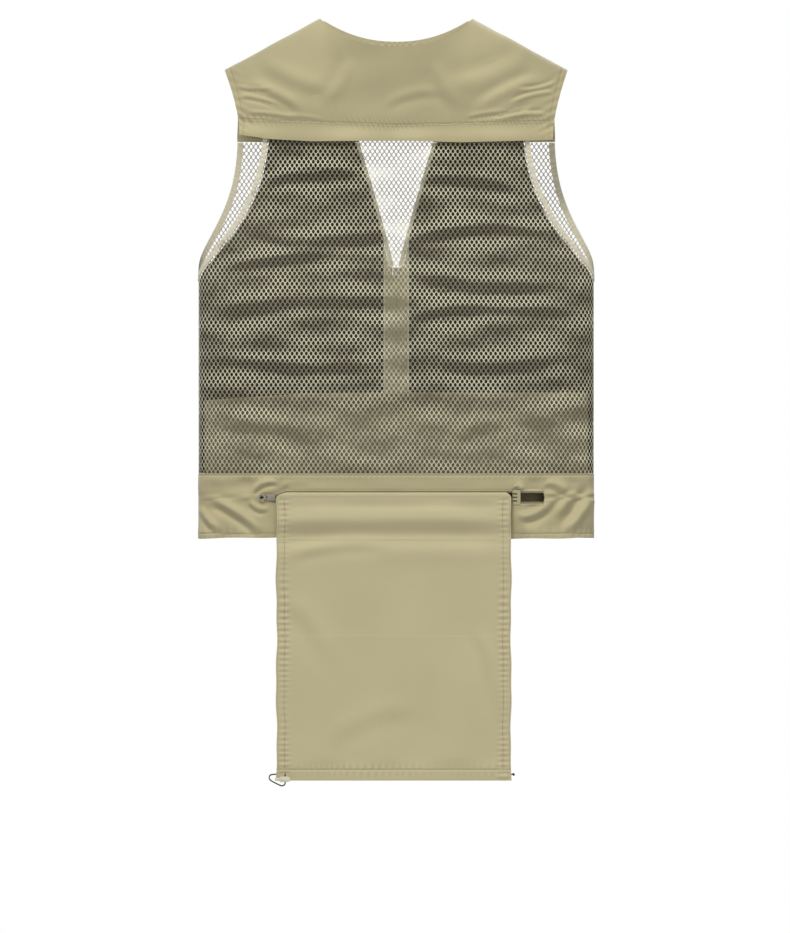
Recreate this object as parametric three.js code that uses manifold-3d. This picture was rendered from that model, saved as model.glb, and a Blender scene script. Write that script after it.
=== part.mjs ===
// Fishing vest: nylon shoulder yoke and hem, net body, four front pockets, a separating front zip,
// and a pull-out flap that hangs from a zipped slot in the back of the hem.
//
// Frame, in millimetres: the origin is midway between the two neck points, on the shoulder line.
// +Z is up, the wearer faces +Y, so the vest's back faces -Y and the wearer's right is +X.
// The vest is filled out as it is when it is worn or hung.

import * as THREE from 'three';
import { mergeVertices } from 'three/addons/utils/BufferGeometryUtils.js';
import loadManifold from 'manifold-3d';

// ---------------------------------------------------------------- driving dimensions

const BACK = -1;
const FRONT = 1;
const RIGHT = 1;
const LEFT = -1;

// Body form, which every panel lies on.
const chestHalfWidth = 268.5;
const bodyHalfDepth = 48;
const formSquareness = 3;
const shoulderRound = 120;
const shoulderSlope = 0.5615;
const shoulderSoftness = 40;
const neckHalfWidth = 102.5;
const shoulderTipHalf = 232;

// Heights, all below the neck points.
const backNeckDrop = 32.6;
const yokeEdgeZ = -166;
const yokeStitchZ = -146;
const frontSeamZ = -164;
const vTipZ = -334;
const hemSeamZ = -616;
const hemBottomZ = -705;

// Cloth and its seams.
const clothThickness = 1.6;
const netThickness = 2;
// Meshes that lie against each other share these divisions, so that their facets run side by side.
const yokeColumns = 24;
const bodyColumns = 26;
const bagColumns = 24;
const frontColumns = 12;
const armholeRowCount = 11;

// Clearances between sewn pieces.
const seamGap = 0.3;
const curvedSeamGap = 0.8;
const yokeFlare = 4;
const yokeFlareHeight = 18;

// Armhole and neck edges.
const yokeHemHalf = 211;
const yokeEdgeCurve = 1.6;
const frontArmholeTopHalf = 216.5;
const frontYokeInset = 1.5;
const frontYokeFlareHeight = 50;
const backArmholeTopHalf = 179;
// Each armhole runs down to the side seam as one curve, with its girth from the centre and its height.
const backArmholeBend = [[183, -220], [203, -272]];
const backArmpitZ = -352;
const frontArmholeBend = [[220, -238], [240, -272]];
const frontArmpitZ = -345;
const backBindingWidth = 6;
const frontBindingWidth = 8;
const neckBindingWidth = 6.5;
const vBindingWidth = 6;
const bindingThickness = 3;
const vCurve = 1.1;
const vTipHalfGap = 3.2;

// Zips: two coil halves on tapes, with a slider that runs on both.
const coilHalfGap = 0.6;
const coilWidth = 2;
const coilOuterLift = 0.9;
const tapeOuterLift = -1.3;
const tapeThickness = 1.2;
const tapeWidth = 11;
const backTapeWidth = 8;
const sliderLength = 11;
const sliderWidth = 8.4;
const sliderWebThickness = 0.6;
const sliderPlateThickness = 1.2;
const sliderClearance = 0.5;
const crownWidth = 1.6;
const crownHeight = 2.8;
const crownBar = 1;
const pullThickness = 1.1;
const pullHeadLength = 6.2;
const pullBar = 1.2;
const pullWindowPlay = 0.6;
const pullRingRadius = 4.7;
const pullHoleRadius = 2.9;
const frontPullStem = 14;
const backPullStem = 0.2;
const zipStopGap = 1;

// Front placket.
const placketInner = 5;
const placketWidth = 11.5;
const placketTopZ = -307;

// Back pocket slot, its bag and the tab at its open end.
const slotLeftX = -185;
const slotRightX = 201;
const slotTopZ = -640.6;
const slotHeight = 16.3;
const slotNeckHeight = 2 * (coilHalfGap + coilWidth + seamGap) + 0.2;
const slotNeckEndX = -163;
const slotTaperEndX = -150;
const bagTopZ = -505;
const bagBottomZ = -700;
const bagDepth = 11;
const bagEdge = 30;
const endTabX = 157;
const endTabWidth = 11;
const endTabHeight = 19.5;

// Pull-out flap.
const flapLeftX = -162.8;
const flapWidth = 319;
const flapTopZ = -640;
const flapThickness = 2;
const flapY = -53;
const flapUpperLength = 130;
const flapMiddleLength = 130;
const flapLowerLength = 118;
const channelHeight = 13.7;
const channelThickness = 5;
const channelBoreRadius = 1.6;
const channelBoreDrop = 5.3;
const channelBevel = 1.5;
const anchorInset = 14.8;
const anchorThickness = 1.8;

// Drawcord and cord lock.
const cordRadius = 1;
const cordLoopRadius = 4.2;
const knotRadius = 2.2;
const lockRadius = 4;
const lockLength = 14.6;
const lockLeftX = -157.4;
const lockEndWall = 1.1;
const lockY = -60.5;
const lockZ = -1029.5;
const plungerRadius = 2.3;
const plungerProud = 6.5;
const plungerTravel = 2.5;
const lockClearance = 0.3;
const plungerSlotStart = 3.6;
const plungerTipWall = 1.1;
const springWire = 0.5;
const springTurns = 3;

// Front pockets: |x| of each edge and the heights of mouth and bottom.
const chestPocket = { inner: 58, outer: 168, mouthZ: -225, bottomZ: -350, depth: 10, side: 20, foot: 25 };
const lowerPocket = { inner: 40, outer: 210, mouthZ: -430, bottomZ: -640, depth: 24, side: 24, foot: 30 };
const pocketFlapOverhang = 2;
const pocketFlapRise = 16;
const chestFlap = { rootZ: -205, height: 45 };
const lowerFlap = { rootZ: -410, height: 62 };

// ---------------------------------------------------------------- materials

const finishes = {
  nylon: { color: '#b0a782', roughness: 0.72, metalness: 0 },
  net: { color: '#8f8763', roughness: 0.8, metalness: 0 },
  binding: { color: '#cbc5a8', roughness: 0.8, metalness: 0 },
  tape: { color: '#a9a17c', roughness: 0.85, metalness: 0 },
  metal: { color: '#b9b39c', roughness: 0.35, metalness: 1 },
  tab: { color: '#6b6347', roughness: 0.8, metalness: 0 },
  cord: { color: '#3c3a33', roughness: 0.7, metalness: 0 },
  toggle: { color: '#dcd8ba', roughness: 0.4, metalness: 0 },
  spring: { color: '#9a9a9a', roughness: 0.3, metalness: 1 },
};

// ---------------------------------------------------------------- small tools

const wasm = await loadManifold();
wasm.setup();

const mix = (a, b, t) => a + (b - a) * t;
const clamp01 = (v) => Math.min(Math.max(v, 0), 1);

function smooth(v) {
  const t = clamp01(v);
  return t * t * (3 - 2 * t);
}

function weld(geometry) {
  geometry.deleteAttribute('normal');
  geometry.deleteAttribute('uv');
  return mergeVertices(geometry, 1e-4);
}

function toSolid(geometry) {
  const welded = weld(geometry.clone());
  const vertProperties = new Float32Array(welded.attributes.position.array);
  const triVerts = new Uint32Array(welded.index.array);
  return new wasm.Manifold(new wasm.Mesh({ numProp: 3, vertProperties, triVerts }));
}

function toGeometry(solid) {
  const mesh = solid.getMesh();
  const geometry = new THREE.BufferGeometry();
  geometry.setAttribute('position', new THREE.BufferAttribute(mesh.vertProperties, 3));
  geometry.setIndex(new THREE.BufferAttribute(mesh.triVerts, 1));
  return geometry;
}

function joined(...geometries) {
  return toGeometry(geometries.map(toSolid).reduce((whole, piece) => whole.add(piece)));
}

function cut(geometry, ...cutters) {
  return toGeometry(cutters.map(toSolid).reduce((rest, cutter) => rest.subtract(cutter), toSolid(geometry)));
}

// Moves a flat shape's geometry so that its x, y and depth run along the three given directions.
function laid(geometry, alongX, alongY, alongDepth, origin = new THREE.Vector3()) {
  const basis = new THREE.Matrix4().makeBasis(alongX, alongY, alongDepth);
  return geometry.applyMatrix4(basis.setPosition(origin));
}

const xAxis = new THREE.Vector3(1, 0, 0);
const yAxis = new THREE.Vector3(0, 1, 0);
const zAxis = new THREE.Vector3(0, 0, 1);
const backwards = new THREE.Vector3(0, -1, 0);

function extruded(shape, depth, curveSegments = 12) {
  return new THREE.ExtrudeGeometry(shape, { depth, bevelEnabled: false, curveSegments });
}

function outline(points) {
  return new THREE.Shape(points.map(([x, y]) => new THREE.Vector2(x, y)));
}

function box(x0, x1, y0, y1, z0, z1) {
  const geometry = new THREE.BoxGeometry(x1 - x0, y1 - y0, z1 - z0);
  return geometry.translate((x0 + x1) / 2, (y0 + y1) / 2, (z0 + z1) / 2);
}

// ---------------------------------------------------------------- body form

function ridgeZ(x) {
  return shoulderSlope * (Math.hypot(neckHalfWidth, shoulderSoftness) - Math.hypot(x, shoulderSoftness));
}

// A point on the form at height z, lifted off it along its own outward normal.
function formPoint(side, x, z, lift) {
  const n = formSquareness;
  const across = Math.min(Math.abs(x) / chestHalfWidth, 1);
  const fullness = (1 - across ** n) ** (1 / n);
  const drop = clamp01((ridgeZ(x) - z) / shoulderRound);
  const swell = Math.sqrt(1 - (1 - drop) ** 2);
  const turn = (1 - drop) / shoulderRound;
  const ridgeSlope = (-shoulderSlope * x) / Math.hypot(x, shoulderSoftness);
  const sideways = (Math.sign(x) * across ** (n - 1) * swell ** 2) / chestHalfWidth;
  const normal = new THREE.Vector3(
    bodyHalfDepth * (sideways - fullness ** n * turn * ridgeSlope),
    side * fullness ** (n - 1) * swell,
    bodyHalfDepth * fullness ** n * turn,
  ).normalize();
  const point = new THREE.Vector3(x, side * bodyHalfDepth * fullness * swell, z);
  point.addScaledVector(normal, lift);
  point.y = side * Math.max(side * point.y, seamGap / 2);
  return point;
}

// How far the form stands off the middle plane at x, below the shoulders.
function depthAt(x) {
  return bodyHalfDepth * (1 - (x / chestHalfWidth) ** formSquareness) ** (1 / formSquareness);
}

// The girth from the centre line to x, measured round the form, and the x at a girth.
const girthSteps = 600;
const girthTable = [{ x: 0, girth: 0 }];
for (let i = 1; i <= girthSteps; i += 1) {
  const x = chestHalfWidth * Math.sin((Math.PI / 2) * (i / girthSteps));
  const last = girthTable[i - 1];
  girthTable.push({ x, girth: last.girth + Math.hypot(x - last.x, depthAt(x) - depthAt(last.x)) });
}
const sideGirth = girthTable[girthSteps].girth;

function lookUp(value, from, to) {
  const size = Math.min(Math.abs(value), girthTable[girthSteps][from]);
  const next = Math.max(girthTable.findIndex((row) => row[from] >= size), 1);
  const [a, b] = [girthTable[next - 1], girthTable[next]];
  return Math.sign(value) * mix(a[to], b[to], (size - a[from]) / (b[from] - a[from]));
}

const girthAt = (x) => lookUp(x, 'x', 'girth');
const xAtGirth = (girth) => lookUp(girth, 'girth', 'x');

// A piece of cloth laid on the form. at(s, t) gives |x| or x and z, with s outwards or to +X and t upwards;
// lifts(s, t) gives how far its inner and outer faces stand off the form.
function cloth({ side, hand = RIGHT, columns, rows, lifts, at }) {
  const geometry = new THREE.BoxGeometry(1, 1, 1, columns, rows, 1);
  const position = geometry.attributes.position;
  const direction = side * hand === 1 ? -1 : 1;
  for (let i = 0; i < position.count; i += 1) {
    const s = 0.5 + direction * position.getX(i);
    const t = 0.5 + position.getY(i);
    const { x, z } = at(s, t);
    const [inner, outer] = lifts(s, t);
    const point = formPoint(side, hand * x, z, position.getZ(i) > 0 ? outer : inner);
    position.setXYZ(i, point.x, point.y, point.z);
  }
  return weld(geometry);
}

const evenLifts = (inner, outer) => () => [inner, outer];
const netLifts = evenLifts(-netThickness / 2, netThickness / 2);

// A panel of level rows, from the lowest up, each with its height and the girths where it starts and ends.
function rowedCloth({ side, hand = RIGHT, columns, rows, lifts }) {
  const at = (s, t) => {
    const row = rows[Math.round(t * (rows.length - 1))];
    return { x: xAtGirth(mix(row.from, row.to, s)), z: row.z };
  };
  return cloth({ side, hand, columns, rows: rows.length - 1, lifts, at });
}

function evenly(from, to, count) {
  return Array.from({ length: count + 1 }, (_, i) => mix(from, to, i / count));
}

// ---------------------------------------------------------------- edge curves, |x| at height z

function yokeEdgeHalf(z) {
  const tipZ = ridgeZ(shoulderTipHalf);
  const t = clamp01((tipZ - z) / (tipZ - yokeEdgeZ));
  return yokeHemHalf + (shoulderTipHalf - yokeHemHalf) * (1 - t) ** yokeEdgeCurve;
}

function frontYokeHalf(z) {
  const low = smooth((frontSeamZ + frontYokeFlareHeight - z) / frontYokeFlareHeight);
  return yokeEdgeHalf(z) - frontYokeInset + (frontArmholeTopHalf + frontYokeInset - yokeHemHalf) * low;
}

function armholeCurve(topHalf, topZ, bend, armpitZ) {
  const points = [[girthAt(topHalf), topZ], ...bend, [sideGirth, armpitZ]];
  return new THREE.CubicBezierCurve(...points.map(([girth, z]) => new THREE.Vector2(girth, z)));
}

const backTopZ = yokeStitchZ - seamGap;
const frontTopZ = frontSeamZ - 2 * seamGap;
const backArmhole = armholeCurve(backArmholeTopHalf, backTopZ, backArmholeBend, backArmpitZ);
const frontArmhole = armholeCurve(frontArmholeTopHalf, frontTopZ, frontArmholeBend, frontArmpitZ);

// A point of an armhole, moved into the cloth by a width; u runs from its top to the side seam.
function armholePoint(curve, u, width) {
  const point = curve.getPoint(u);
  const tangent = curve.getTangent(u);
  return { girth: Math.min(point.x + tangent.y * width, sideGirth), z: point.y - tangent.x * width };
}

function vHalf(z) {
  return vTipHalfGap + (neckHalfWidth - vTipHalfGap) * clamp01(1 - z / vTipZ) ** vCurve;
}

// The same edge moved sideways by a width measured square to it.
function inset(edge, z, width) {
  const step = 0.5;
  const slope = (edge(z + step) - edge(z - step)) / (2 * step);
  return edge(z) + width * Math.hypot(1, slope);
}

function necklineZ(x) {
  return -backNeckDrop * (1 - Math.min(Math.abs(x) / neckHalfWidth, 1) ** 2.2);
}

function neckBindingAt(x) {
  return neckBindingWidth * (1 - Math.min(Math.abs(x) / neckHalfWidth, 1) ** 6);
}

// ---------------------------------------------------------------- back panels

const yokeInnerLift = netThickness / 2 + seamGap;
const yokeLifts = [yokeInnerLift, yokeInnerLift + clothThickness];

function backYoke() {
  const tipZ = ridgeZ(shoulderTipHalf);
  return cloth({
    side: BACK,
    columns: yokeColumns,
    rows: 10,
    at: (s, t) => {
      const u = 2 * s - 1;
      const fall = (1 - t) ** 2;
      const topX = u * shoulderTipHalf;
      const inNeck = Math.abs(topX) < neckHalfWidth;
      const neckZ = necklineZ(topX) - neckBindingAt(topX) - curvedSeamGap;
      const topZ = inNeck ? neckZ : ridgeZ(topX);
      return { x: u * yokeEdgeHalf(mix(tipZ, yokeEdgeZ, fall)), z: mix(topZ, yokeEdgeZ, fall) };
    },
    lifts: (s, t) => {
      const z = mix(tipZ, yokeEdgeZ, (1 - t) ** 2);
      const flare = yokeFlare * smooth((yokeEdgeZ + yokeFlareHeight - z) / yokeFlareHeight);
      return yokeLifts.map((lift) => lift + flare);
    },
  });
}

function neckBinding() {
  const columnWidth = (2 * shoulderTipHalf) / yokeColumns;
  const halfColumns = Math.floor(neckHalfWidth / columnWidth);
  const innerLift = yokeInnerLift - (bindingThickness - clothThickness) / 2;
  return cloth({
    side: BACK,
    columns: 2 * halfColumns,
    rows: 1,
    at: (s, t) => {
      const x = (2 * s - 1) * halfColumns * columnWidth;
      return { x, z: necklineZ(x) - (1 - t) * neckBindingAt(x) };
    },
    lifts: evenLifts(innerLift, innerLift + bindingThickness),
  });
}

// The level rows of a net panel beside an armhole, from the hem seam up.
function armholeRows(curve, width, from) {
  const beside = evenly(1, 0, armholeRowCount).map((u) => armholePoint(curve, u, width + curvedSeamGap));
  const under = [hemSeamZ + seamGap, beside[0].z - curvedSeamGap];
  return [
    ...under.map((z) => ({ z, from: from(z), to: sideGirth })),
    ...beside.map(({ girth, z }) => ({ z, from: from(z), to: girth })),
  ];
}

function backNetPanel() {
  const rows = armholeRows(backArmhole, backBindingWidth, () => 0).map((row) => ({ ...row, from: -row.to }));
  return rowedCloth({ side: BACK, columns: bodyColumns, rows, lifts: netLifts });
}

function armholeBinding(side, hand, curve, width) {
  return cloth({
    side,
    hand,
    columns: 1,
    rows: armholeRowCount,
    at: (s, t) => {
      const { girth, z } = armholePoint(curve, 1 - t, width * (1 - s));
      return { x: xAtGirth(girth), z };
    },
    lifts: evenLifts(-bindingThickness / 2, bindingThickness / 2),
  });
}

const slotMidZ = slotTopZ - slotHeight / 2;

// Half the slot's height at x: narrow where the slider runs, then full.
function slotHalfHeight(x) {
  const open = clamp01((x - slotNeckEndX) / (slotTaperEndX - slotNeckEndX));
  return mix(slotNeckHeight, slotHeight, open) / 2;
}

function slotCutter() {
  const edge = [slotLeftX, slotNeckEndX, slotTaperEndX, slotRightX];
  const top = edge.map((x) => [x, slotMidZ + slotHalfHeight(x)]);
  const bottom = edge.map((x) => [x, slotMidZ - slotHalfHeight(x)]).reverse();
  const reach = bodyHalfDepth;
  const start = new THREE.Vector3(0, -bodyHalfDepth / 4, 0);
  return laid(extruded(outline([...top, ...bottom]), reach), xAxis, zAxis, backwards, start);
}

function backHemPanel() {
  const rows = [hemBottomZ, hemSeamZ].map((z) => ({ z, from: -sideGirth, to: sideGirth }));
  const panel = rowedCloth({ side: BACK, columns: bodyColumns, rows, lifts: netLifts });
  return cut(panel, slotCutter());
}

function backPocketBag() {
  const height = bagTopZ - bagBottomZ;
  const outerAtEdge = -(netThickness / 2 + curvedSeamGap);
  const half = sideGirth * (bagColumns / bodyColumns);
  return cloth({
    side: BACK,
    columns: bagColumns,
    rows: 8,
    at: (s, t) => ({ x: xAtGirth(mix(-half, half, s)), z: mix(bagBottomZ, bagTopZ, t) }),
    lifts: (s, t) => {
      const fromSide = Math.min(s, 1 - s) * 2 * half;
      const fromEnd = Math.min(t, 1 - t) * height;
      const sink = bagDepth * smooth(fromSide / bagEdge) * smooth(fromEnd / bagEdge);
      return [outerAtEdge - sink - clothThickness, outerAtEdge - sink];
    },
  });
}

// One half of the slot's zip: a tape inside the hem with the coil along the slot's edge.
function slotZipHalf(up) {
  const places = [
    ...evenly(slotLeftX + seamGap, slotNeckEndX, 4),
    ...evenly(slotNeckEndX, slotTaperEndX, 2).slice(1),
    ...evenly(slotTaperEndX, slotRightX - seamGap, 24).slice(1),
  ];
  const edgeZ = (x) => slotMidZ + up * (slotHalfHeight(x) - seamGap);
  const strip = (reachIn, reachOut, lifts) =>
    cloth({
      side: BACK,
      columns: places.length - 1,
      rows: 1,
      at: (s, t) => {
        const x = places[Math.round(s * (places.length - 1))];
        const ends = [edgeZ(x) + up * reachIn, edgeZ(x) + up * reachOut];
        return { x, z: mix(Math.min(...ends), Math.max(...ends), t) };
      },
      lifts: evenLifts(...lifts),
    });
  const tape = strip(-coilWidth, backTapeWidth, [tapeOuterLift - tapeThickness, tapeOuterLift]);
  const coil = strip(-coilWidth, 0, [tapeOuterLift - tapeThickness - 0.1, coilOuterLift]);
  return joined(tape, coil);
}

function zipEndTab() {
  return cloth({
    side: BACK,
    columns: 2,
    rows: 1,
    at: (s, t) => ({ x: endTabX + endTabWidth * s, z: slotMidZ + endTabHeight * (t - 0.5) }),
    lifts: evenLifts(netThickness / 2 + seamGap, netThickness / 2 + seamGap + 1.2),
  });
}

// ---------------------------------------------------------------- pull-out flap

const flapRightX = flapLeftX + flapWidth;
const flapUpperZ = flapTopZ - flapUpperLength;
const flapMiddleZ = flapUpperZ - flapMiddleLength;
const flapLowerZ = flapMiddleZ - flapLowerLength;
const channelBottomZ = flapLowerZ - channelHeight;
const boreZ = flapLowerZ - channelBoreDrop;

// The flap's sewn end, which runs in through the slot to the bag.
function flapAnchor() {
  const geometry = new THREE.BoxGeometry(1, 1, 1, 20, 1, 1);
  const position = geometry.attributes.position;
  const topZ = slotTopZ - seamGap - coilWidth - seamGap;
  const innerLift = -(netThickness / 2 + bagDepth);
  const outerY = flapY + flapThickness / 2 + seamGap;
  for (let i = 0; i < position.count; i += 1) {
    const x = mix(flapLeftX + anchorInset, flapRightX - anchorInset / 2, position.getX(i) + 0.5);
    const z = topZ - (0.5 - position.getZ(i)) * anchorThickness;
    const inside = formPoint(BACK, x, z, innerLift);
    const outer = position.getY(i) < 0;
    position.setXYZ(i, outer ? x : inside.x, outer ? outerY : inside.y, z);
  }
  return weld(geometry);
}

function flapPanel(topZ, length) {
  const half = flapThickness / 2;
  return box(flapLeftX, flapRightX, flapY - half, flapY + half, topZ - length + seamGap, topZ);
}

function drawcordChannel() {
  const halfT = channelThickness / 2;
  const shape = outline([
    [flapY - halfT, channelBottomZ + channelBevel],
    [flapY - halfT + channelBevel, channelBottomZ],
    [flapY + halfT - channelBevel, channelBottomZ],
    [flapY + halfT, channelBottomZ + channelBevel],
    [flapY + halfT, flapLowerZ - channelBevel],
    [flapY + halfT - channelBevel, flapLowerZ],
    [flapY - halfT + channelBevel, flapLowerZ],
    [flapY - halfT, flapLowerZ - channelBevel],
  ]);
  const bore = new THREE.Path().absarc(flapY, boreZ, channelBoreRadius, 0, 2 * Math.PI);
  shape.holes.push(bore);
  return laid(extruded(shape, flapWidth, 6), yAxis, zAxis, xAxis, new THREE.Vector3(flapLeftX, 0, 0));
}

// The drawcord: along the channel, round its loop and up through the cord lock.
const cordLoopX = flapLeftX - 4.7;
const cordLoopZ = boreZ - cordLoopRadius;
const lockBoreX = lockLeftX + 7.4;
const cordRoute = [
  [flapRightX + 1.8, flapY, boreZ],
  [100, flapY, boreZ],
  [0, flapY, boreZ],
  [-100, flapY, boreZ],
  [-156, flapY, boreZ],
  [cordLoopX + 0.6, flapY - 0.2, boreZ],
  [cordLoopX - 3, flapY - 1.0, cordLoopZ + 2.9],
  [cordLoopX - 4.2, flapY - 2.0, cordLoopZ],
  [cordLoopX - 3, flapY - 3.2, cordLoopZ - 3.0],
  [cordLoopX, flapY - 4.6, cordLoopZ - 5.0],
  [cordLoopX + 5, flapY - 6.6, cordLoopZ - 7.6],
  [lockBoreX - 4.4, lockY, lockZ - lockRadius - 4.9],
  [lockBoreX - 1.3, lockY, lockZ - lockRadius - 3.7],
  [lockBoreX, lockY, lockZ - lockRadius - 0.9],
  [lockBoreX, lockY, lockZ],
  [lockBoreX, lockY, lockZ + lockRadius + 3.4],
];

function drawcord() {
  const points = cordRoute.map((p) => new THREE.Vector3(...p));
  const route = new THREE.CatmullRomCurve3(points, false, 'centripetal');
  const section = new THREE.Shape().absarc(0, 0, cordRadius, 0, 2 * Math.PI);
  const shapeOptions = { steps: 76, curveSegments: 4, bevelEnabled: false, extrudePath: route };
  const tube = new THREE.ExtrudeGeometry(section, shapeOptions);
  const knot = new THREE.SphereGeometry(knotRadius, 10, 7);
  knot.translate(flapRightX + knotRadius + seamGap, flapY, boreZ);
  return joined(tube, knot);
}

// ---------------------------------------------------------------- cord lock

const lockRightX = lockLeftX + lockLength;

function alongXCylinder(radius, x0, x1, segments) {
  const geometry = new THREE.CylinderGeometry(radius, radius, x1 - x0, segments);
  return geometry.rotateZ(Math.PI / 2).translate((x0 + x1) / 2, lockY, lockZ);
}

function lockBarrel() {
  const end = lockRightX;
  const profile = [
    [0, lockLeftX],
    [lockRadius - 0.8, lockLeftX],
    [lockRadius, lockLeftX + 1],
    [lockRadius, end - 5],
    [lockRadius - 1.1, end - 0.8],
    [lockRadius - 2, end],
    [0, end],
  ];
  const body = new THREE.LatheGeometry(profile.map(([r, x]) => new THREE.Vector2(r, x)), 20);
  body.rotateZ(-Math.PI / 2).translate(0, lockY, lockZ);
  const well = alongXCylinder(plungerRadius + lockClearance, lockLeftX - 1, end - lockEndWall, 16);
  const cordBore = new THREE.CylinderGeometry(cordRadius + lockClearance, cordRadius + lockClearance, 20, 12);
  cordBore.rotateX(Math.PI / 2).translate(lockBoreX, lockY, lockZ);
  return cut(body, well, cordBore);
}

const plungerTipX = lockBoreX + cordRadius + lockClearance + plungerTipWall;

function lockPlunger() {
  const profile = [
    [0, lockLeftX - plungerProud],
    [plungerRadius - 0.9, lockLeftX - plungerProud],
    [plungerRadius, lockLeftX - plungerProud + 0.9],
    [plungerRadius, plungerTipX],
    [0, plungerTipX],
  ];
  const body = new THREE.LatheGeometry(profile.map(([r, x]) => new THREE.Vector2(r, x)), 16);
  body.rotateZ(-Math.PI / 2).translate(0, lockY, lockZ);
  const halfSlot = cordRadius + lockClearance;
  const slot = box(
    lockBoreX - plungerSlotStart - lockClearance,
    lockBoreX + halfSlot,
    lockY - halfSlot,
    lockY + halfSlot,
    lockZ - lockRadius,
    lockZ + lockRadius,
  );
  return cut(body, slot);
}

class Coil extends THREE.Curve {
  constructor(radius, startX, length, turns) {
    super();
    Object.assign(this, { radius, startX, length, turns });
  }

  getPoint(t, target = new THREE.Vector3()) {
    const angle = 2 * Math.PI * this.turns * t;
    const y = lockY + this.radius * Math.cos(angle);
    const z = lockZ + this.radius * Math.sin(angle);
    return target.set(this.startX + this.length * t, y, z);
  }
}

function lockSpring() {
  const room = lockRightX - lockEndWall - plungerTipX;
  const half = springWire / 2;
  const play = 0.2;
  const length = room - springWire - 2 * play;
  const coil = new Coil(plungerRadius - half - play, plungerTipX + half + play, length, springTurns);
  const section = new THREE.Shape().absarc(0, 0, half, 0, 2 * Math.PI);
  return new THREE.ExtrudeGeometry(section, {
    steps: 14 * springTurns,
    curveSegments: 3,
    bevelEnabled: false,
    extrudePath: coil,
  });
}

// ---------------------------------------------------------------- zip sliders and pulls
// Both are drawn with x along the slide, y across it and z outwards, from the form's middle surface.

const outerPlateLift = coilOuterLift + sliderClearance;
const innerPlateLift = tapeOuterLift - tapeThickness - 0.1 - sliderClearance;
const crownBaseLift = outerPlateLift + sliderPlateThickness;
const crownTopLift = crownBaseLift + crownHeight;
const pullMidLift = crownBaseLift + 0.3 + pullThickness / 2;
const crownFarX = -4.2;
const crownNearX = 2.6;
const pinNearX = crownFarX + crownBar + 1.4;

function slider() {
  const halfWidth = sliderWidth / 2;
  const halfWeb = sliderWebThickness / 2;
  const plates = outline([
    [-halfWidth, innerPlateLift - sliderPlateThickness],
    [halfWidth, innerPlateLift - sliderPlateThickness],
    [halfWidth, innerPlateLift],
    [halfWeb, innerPlateLift],
    [halfWeb, outerPlateLift],
    [halfWidth, outerPlateLift],
    [halfWidth, crownBaseLift],
    [-halfWidth, crownBaseLift],
    [-halfWidth, outerPlateLift],
    [-halfWeb, outerPlateLift],
    [-halfWeb, innerPlateLift],
    [-halfWidth, innerPlateLift],
  ]);
  const start = new THREE.Vector3(-sliderLength / 2, 0, 0);
  const body = laid(extruded(plates, sliderLength), yAxis, zAxis, xAxis, start);
  const foot = crownBaseLift - 0.4;
  const arch = outline([
    [crownFarX, foot],
    [crownFarX + crownBar, foot],
    [crownFarX + crownBar, crownTopLift - crownBar],
    [crownNearX - crownBar, crownTopLift - crownBar],
    [crownNearX - crownBar, foot],
    [crownNearX, foot],
    [crownNearX, crownTopLift - 0.5],
    [crownNearX - 0.5, crownTopLift],
    [crownFarX + 0.5, crownTopLift],
    [crownFarX, crownTopLift - 0.5],
  ]);
  const archStart = new THREE.Vector3(0, crownWidth / 2, 0);
  const crown = laid(extruded(arch, crownWidth), xAxis, zAxis, backwards, archStart);
  return joined(body, crown);
}

// The pull hangs on a pin under the crown and lies back over the plate towards -x.
function pull(stem) {
  const window = crownWidth / 2 + pullWindowPlay;
  const farX = pinNearX - pullHeadLength;
  const half = window + pullBar;
  const ringX = farX - stem - pullRingRadius;
  const neck = half * 0.8;
  const join = Math.asin(neck / pullRingRadius);
  const shape = new THREE.Shape();
  shape.moveTo(pinNearX, -half);
  shape.lineTo(pinNearX, half);
  shape.lineTo(farX, half);
  shape.lineTo(ringX + pullRingRadius * Math.cos(join), neck);
  shape.absarc(ringX, 0, pullRingRadius, join, 2 * Math.PI - join, false);
  shape.lineTo(farX, -half);
  shape.closePath();
  const pin = pullThickness;
  const windowHole = new THREE.Path();
  windowHole.moveTo(pinNearX - pin, -window);
  windowHole.lineTo(farX + pullBar, -window);
  windowHole.lineTo(farX + pullBar, window);
  windowHole.lineTo(pinNearX - pin, window);
  windowHole.closePath();
  const ringHole = new THREE.Path().absarc(ringX, 0, pullHoleRadius, 0, 2 * Math.PI, true);
  shape.holes.push(windowHole, ringHole);
  return extruded(shape, pullThickness, 10).translate(0, 0, pullMidLift - pullThickness / 2);
}

// Seats a slider or pull on the form: along the slide, across it and outwards.
function seated(geometry, along, outward, origin) {
  const across = new THREE.Vector3().crossVectors(outward, along);
  return laid(geometry, along, across, outward, origin);
}

const backSliderX = slotNeckEndX - sliderLength / 2 - 0.5;

function backZipFrame() {
  const step = 4;
  const origin = formPoint(BACK, backSliderX, slotMidZ, 0);
  const left = formPoint(BACK, backSliderX - step, slotMidZ, 0);
  const along = formPoint(BACK, backSliderX + step, slotMidZ, 0).sub(left).normalize();
  const outward = new THREE.Vector3(along.y, -along.x, 0);
  return [along, outward, origin];
}

const frontSliderZ = vTipZ - zipStopGap - sliderLength / 2;
const frontZipFrame = [zAxis, yAxis, new THREE.Vector3(0, bodyHalfDepth, frontSliderZ)];

// ---------------------------------------------------------------- fronts, each drawn for either hand

const placketOuter = placketInner + placketWidth;
const netInner = placketOuter + seamGap;

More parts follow.
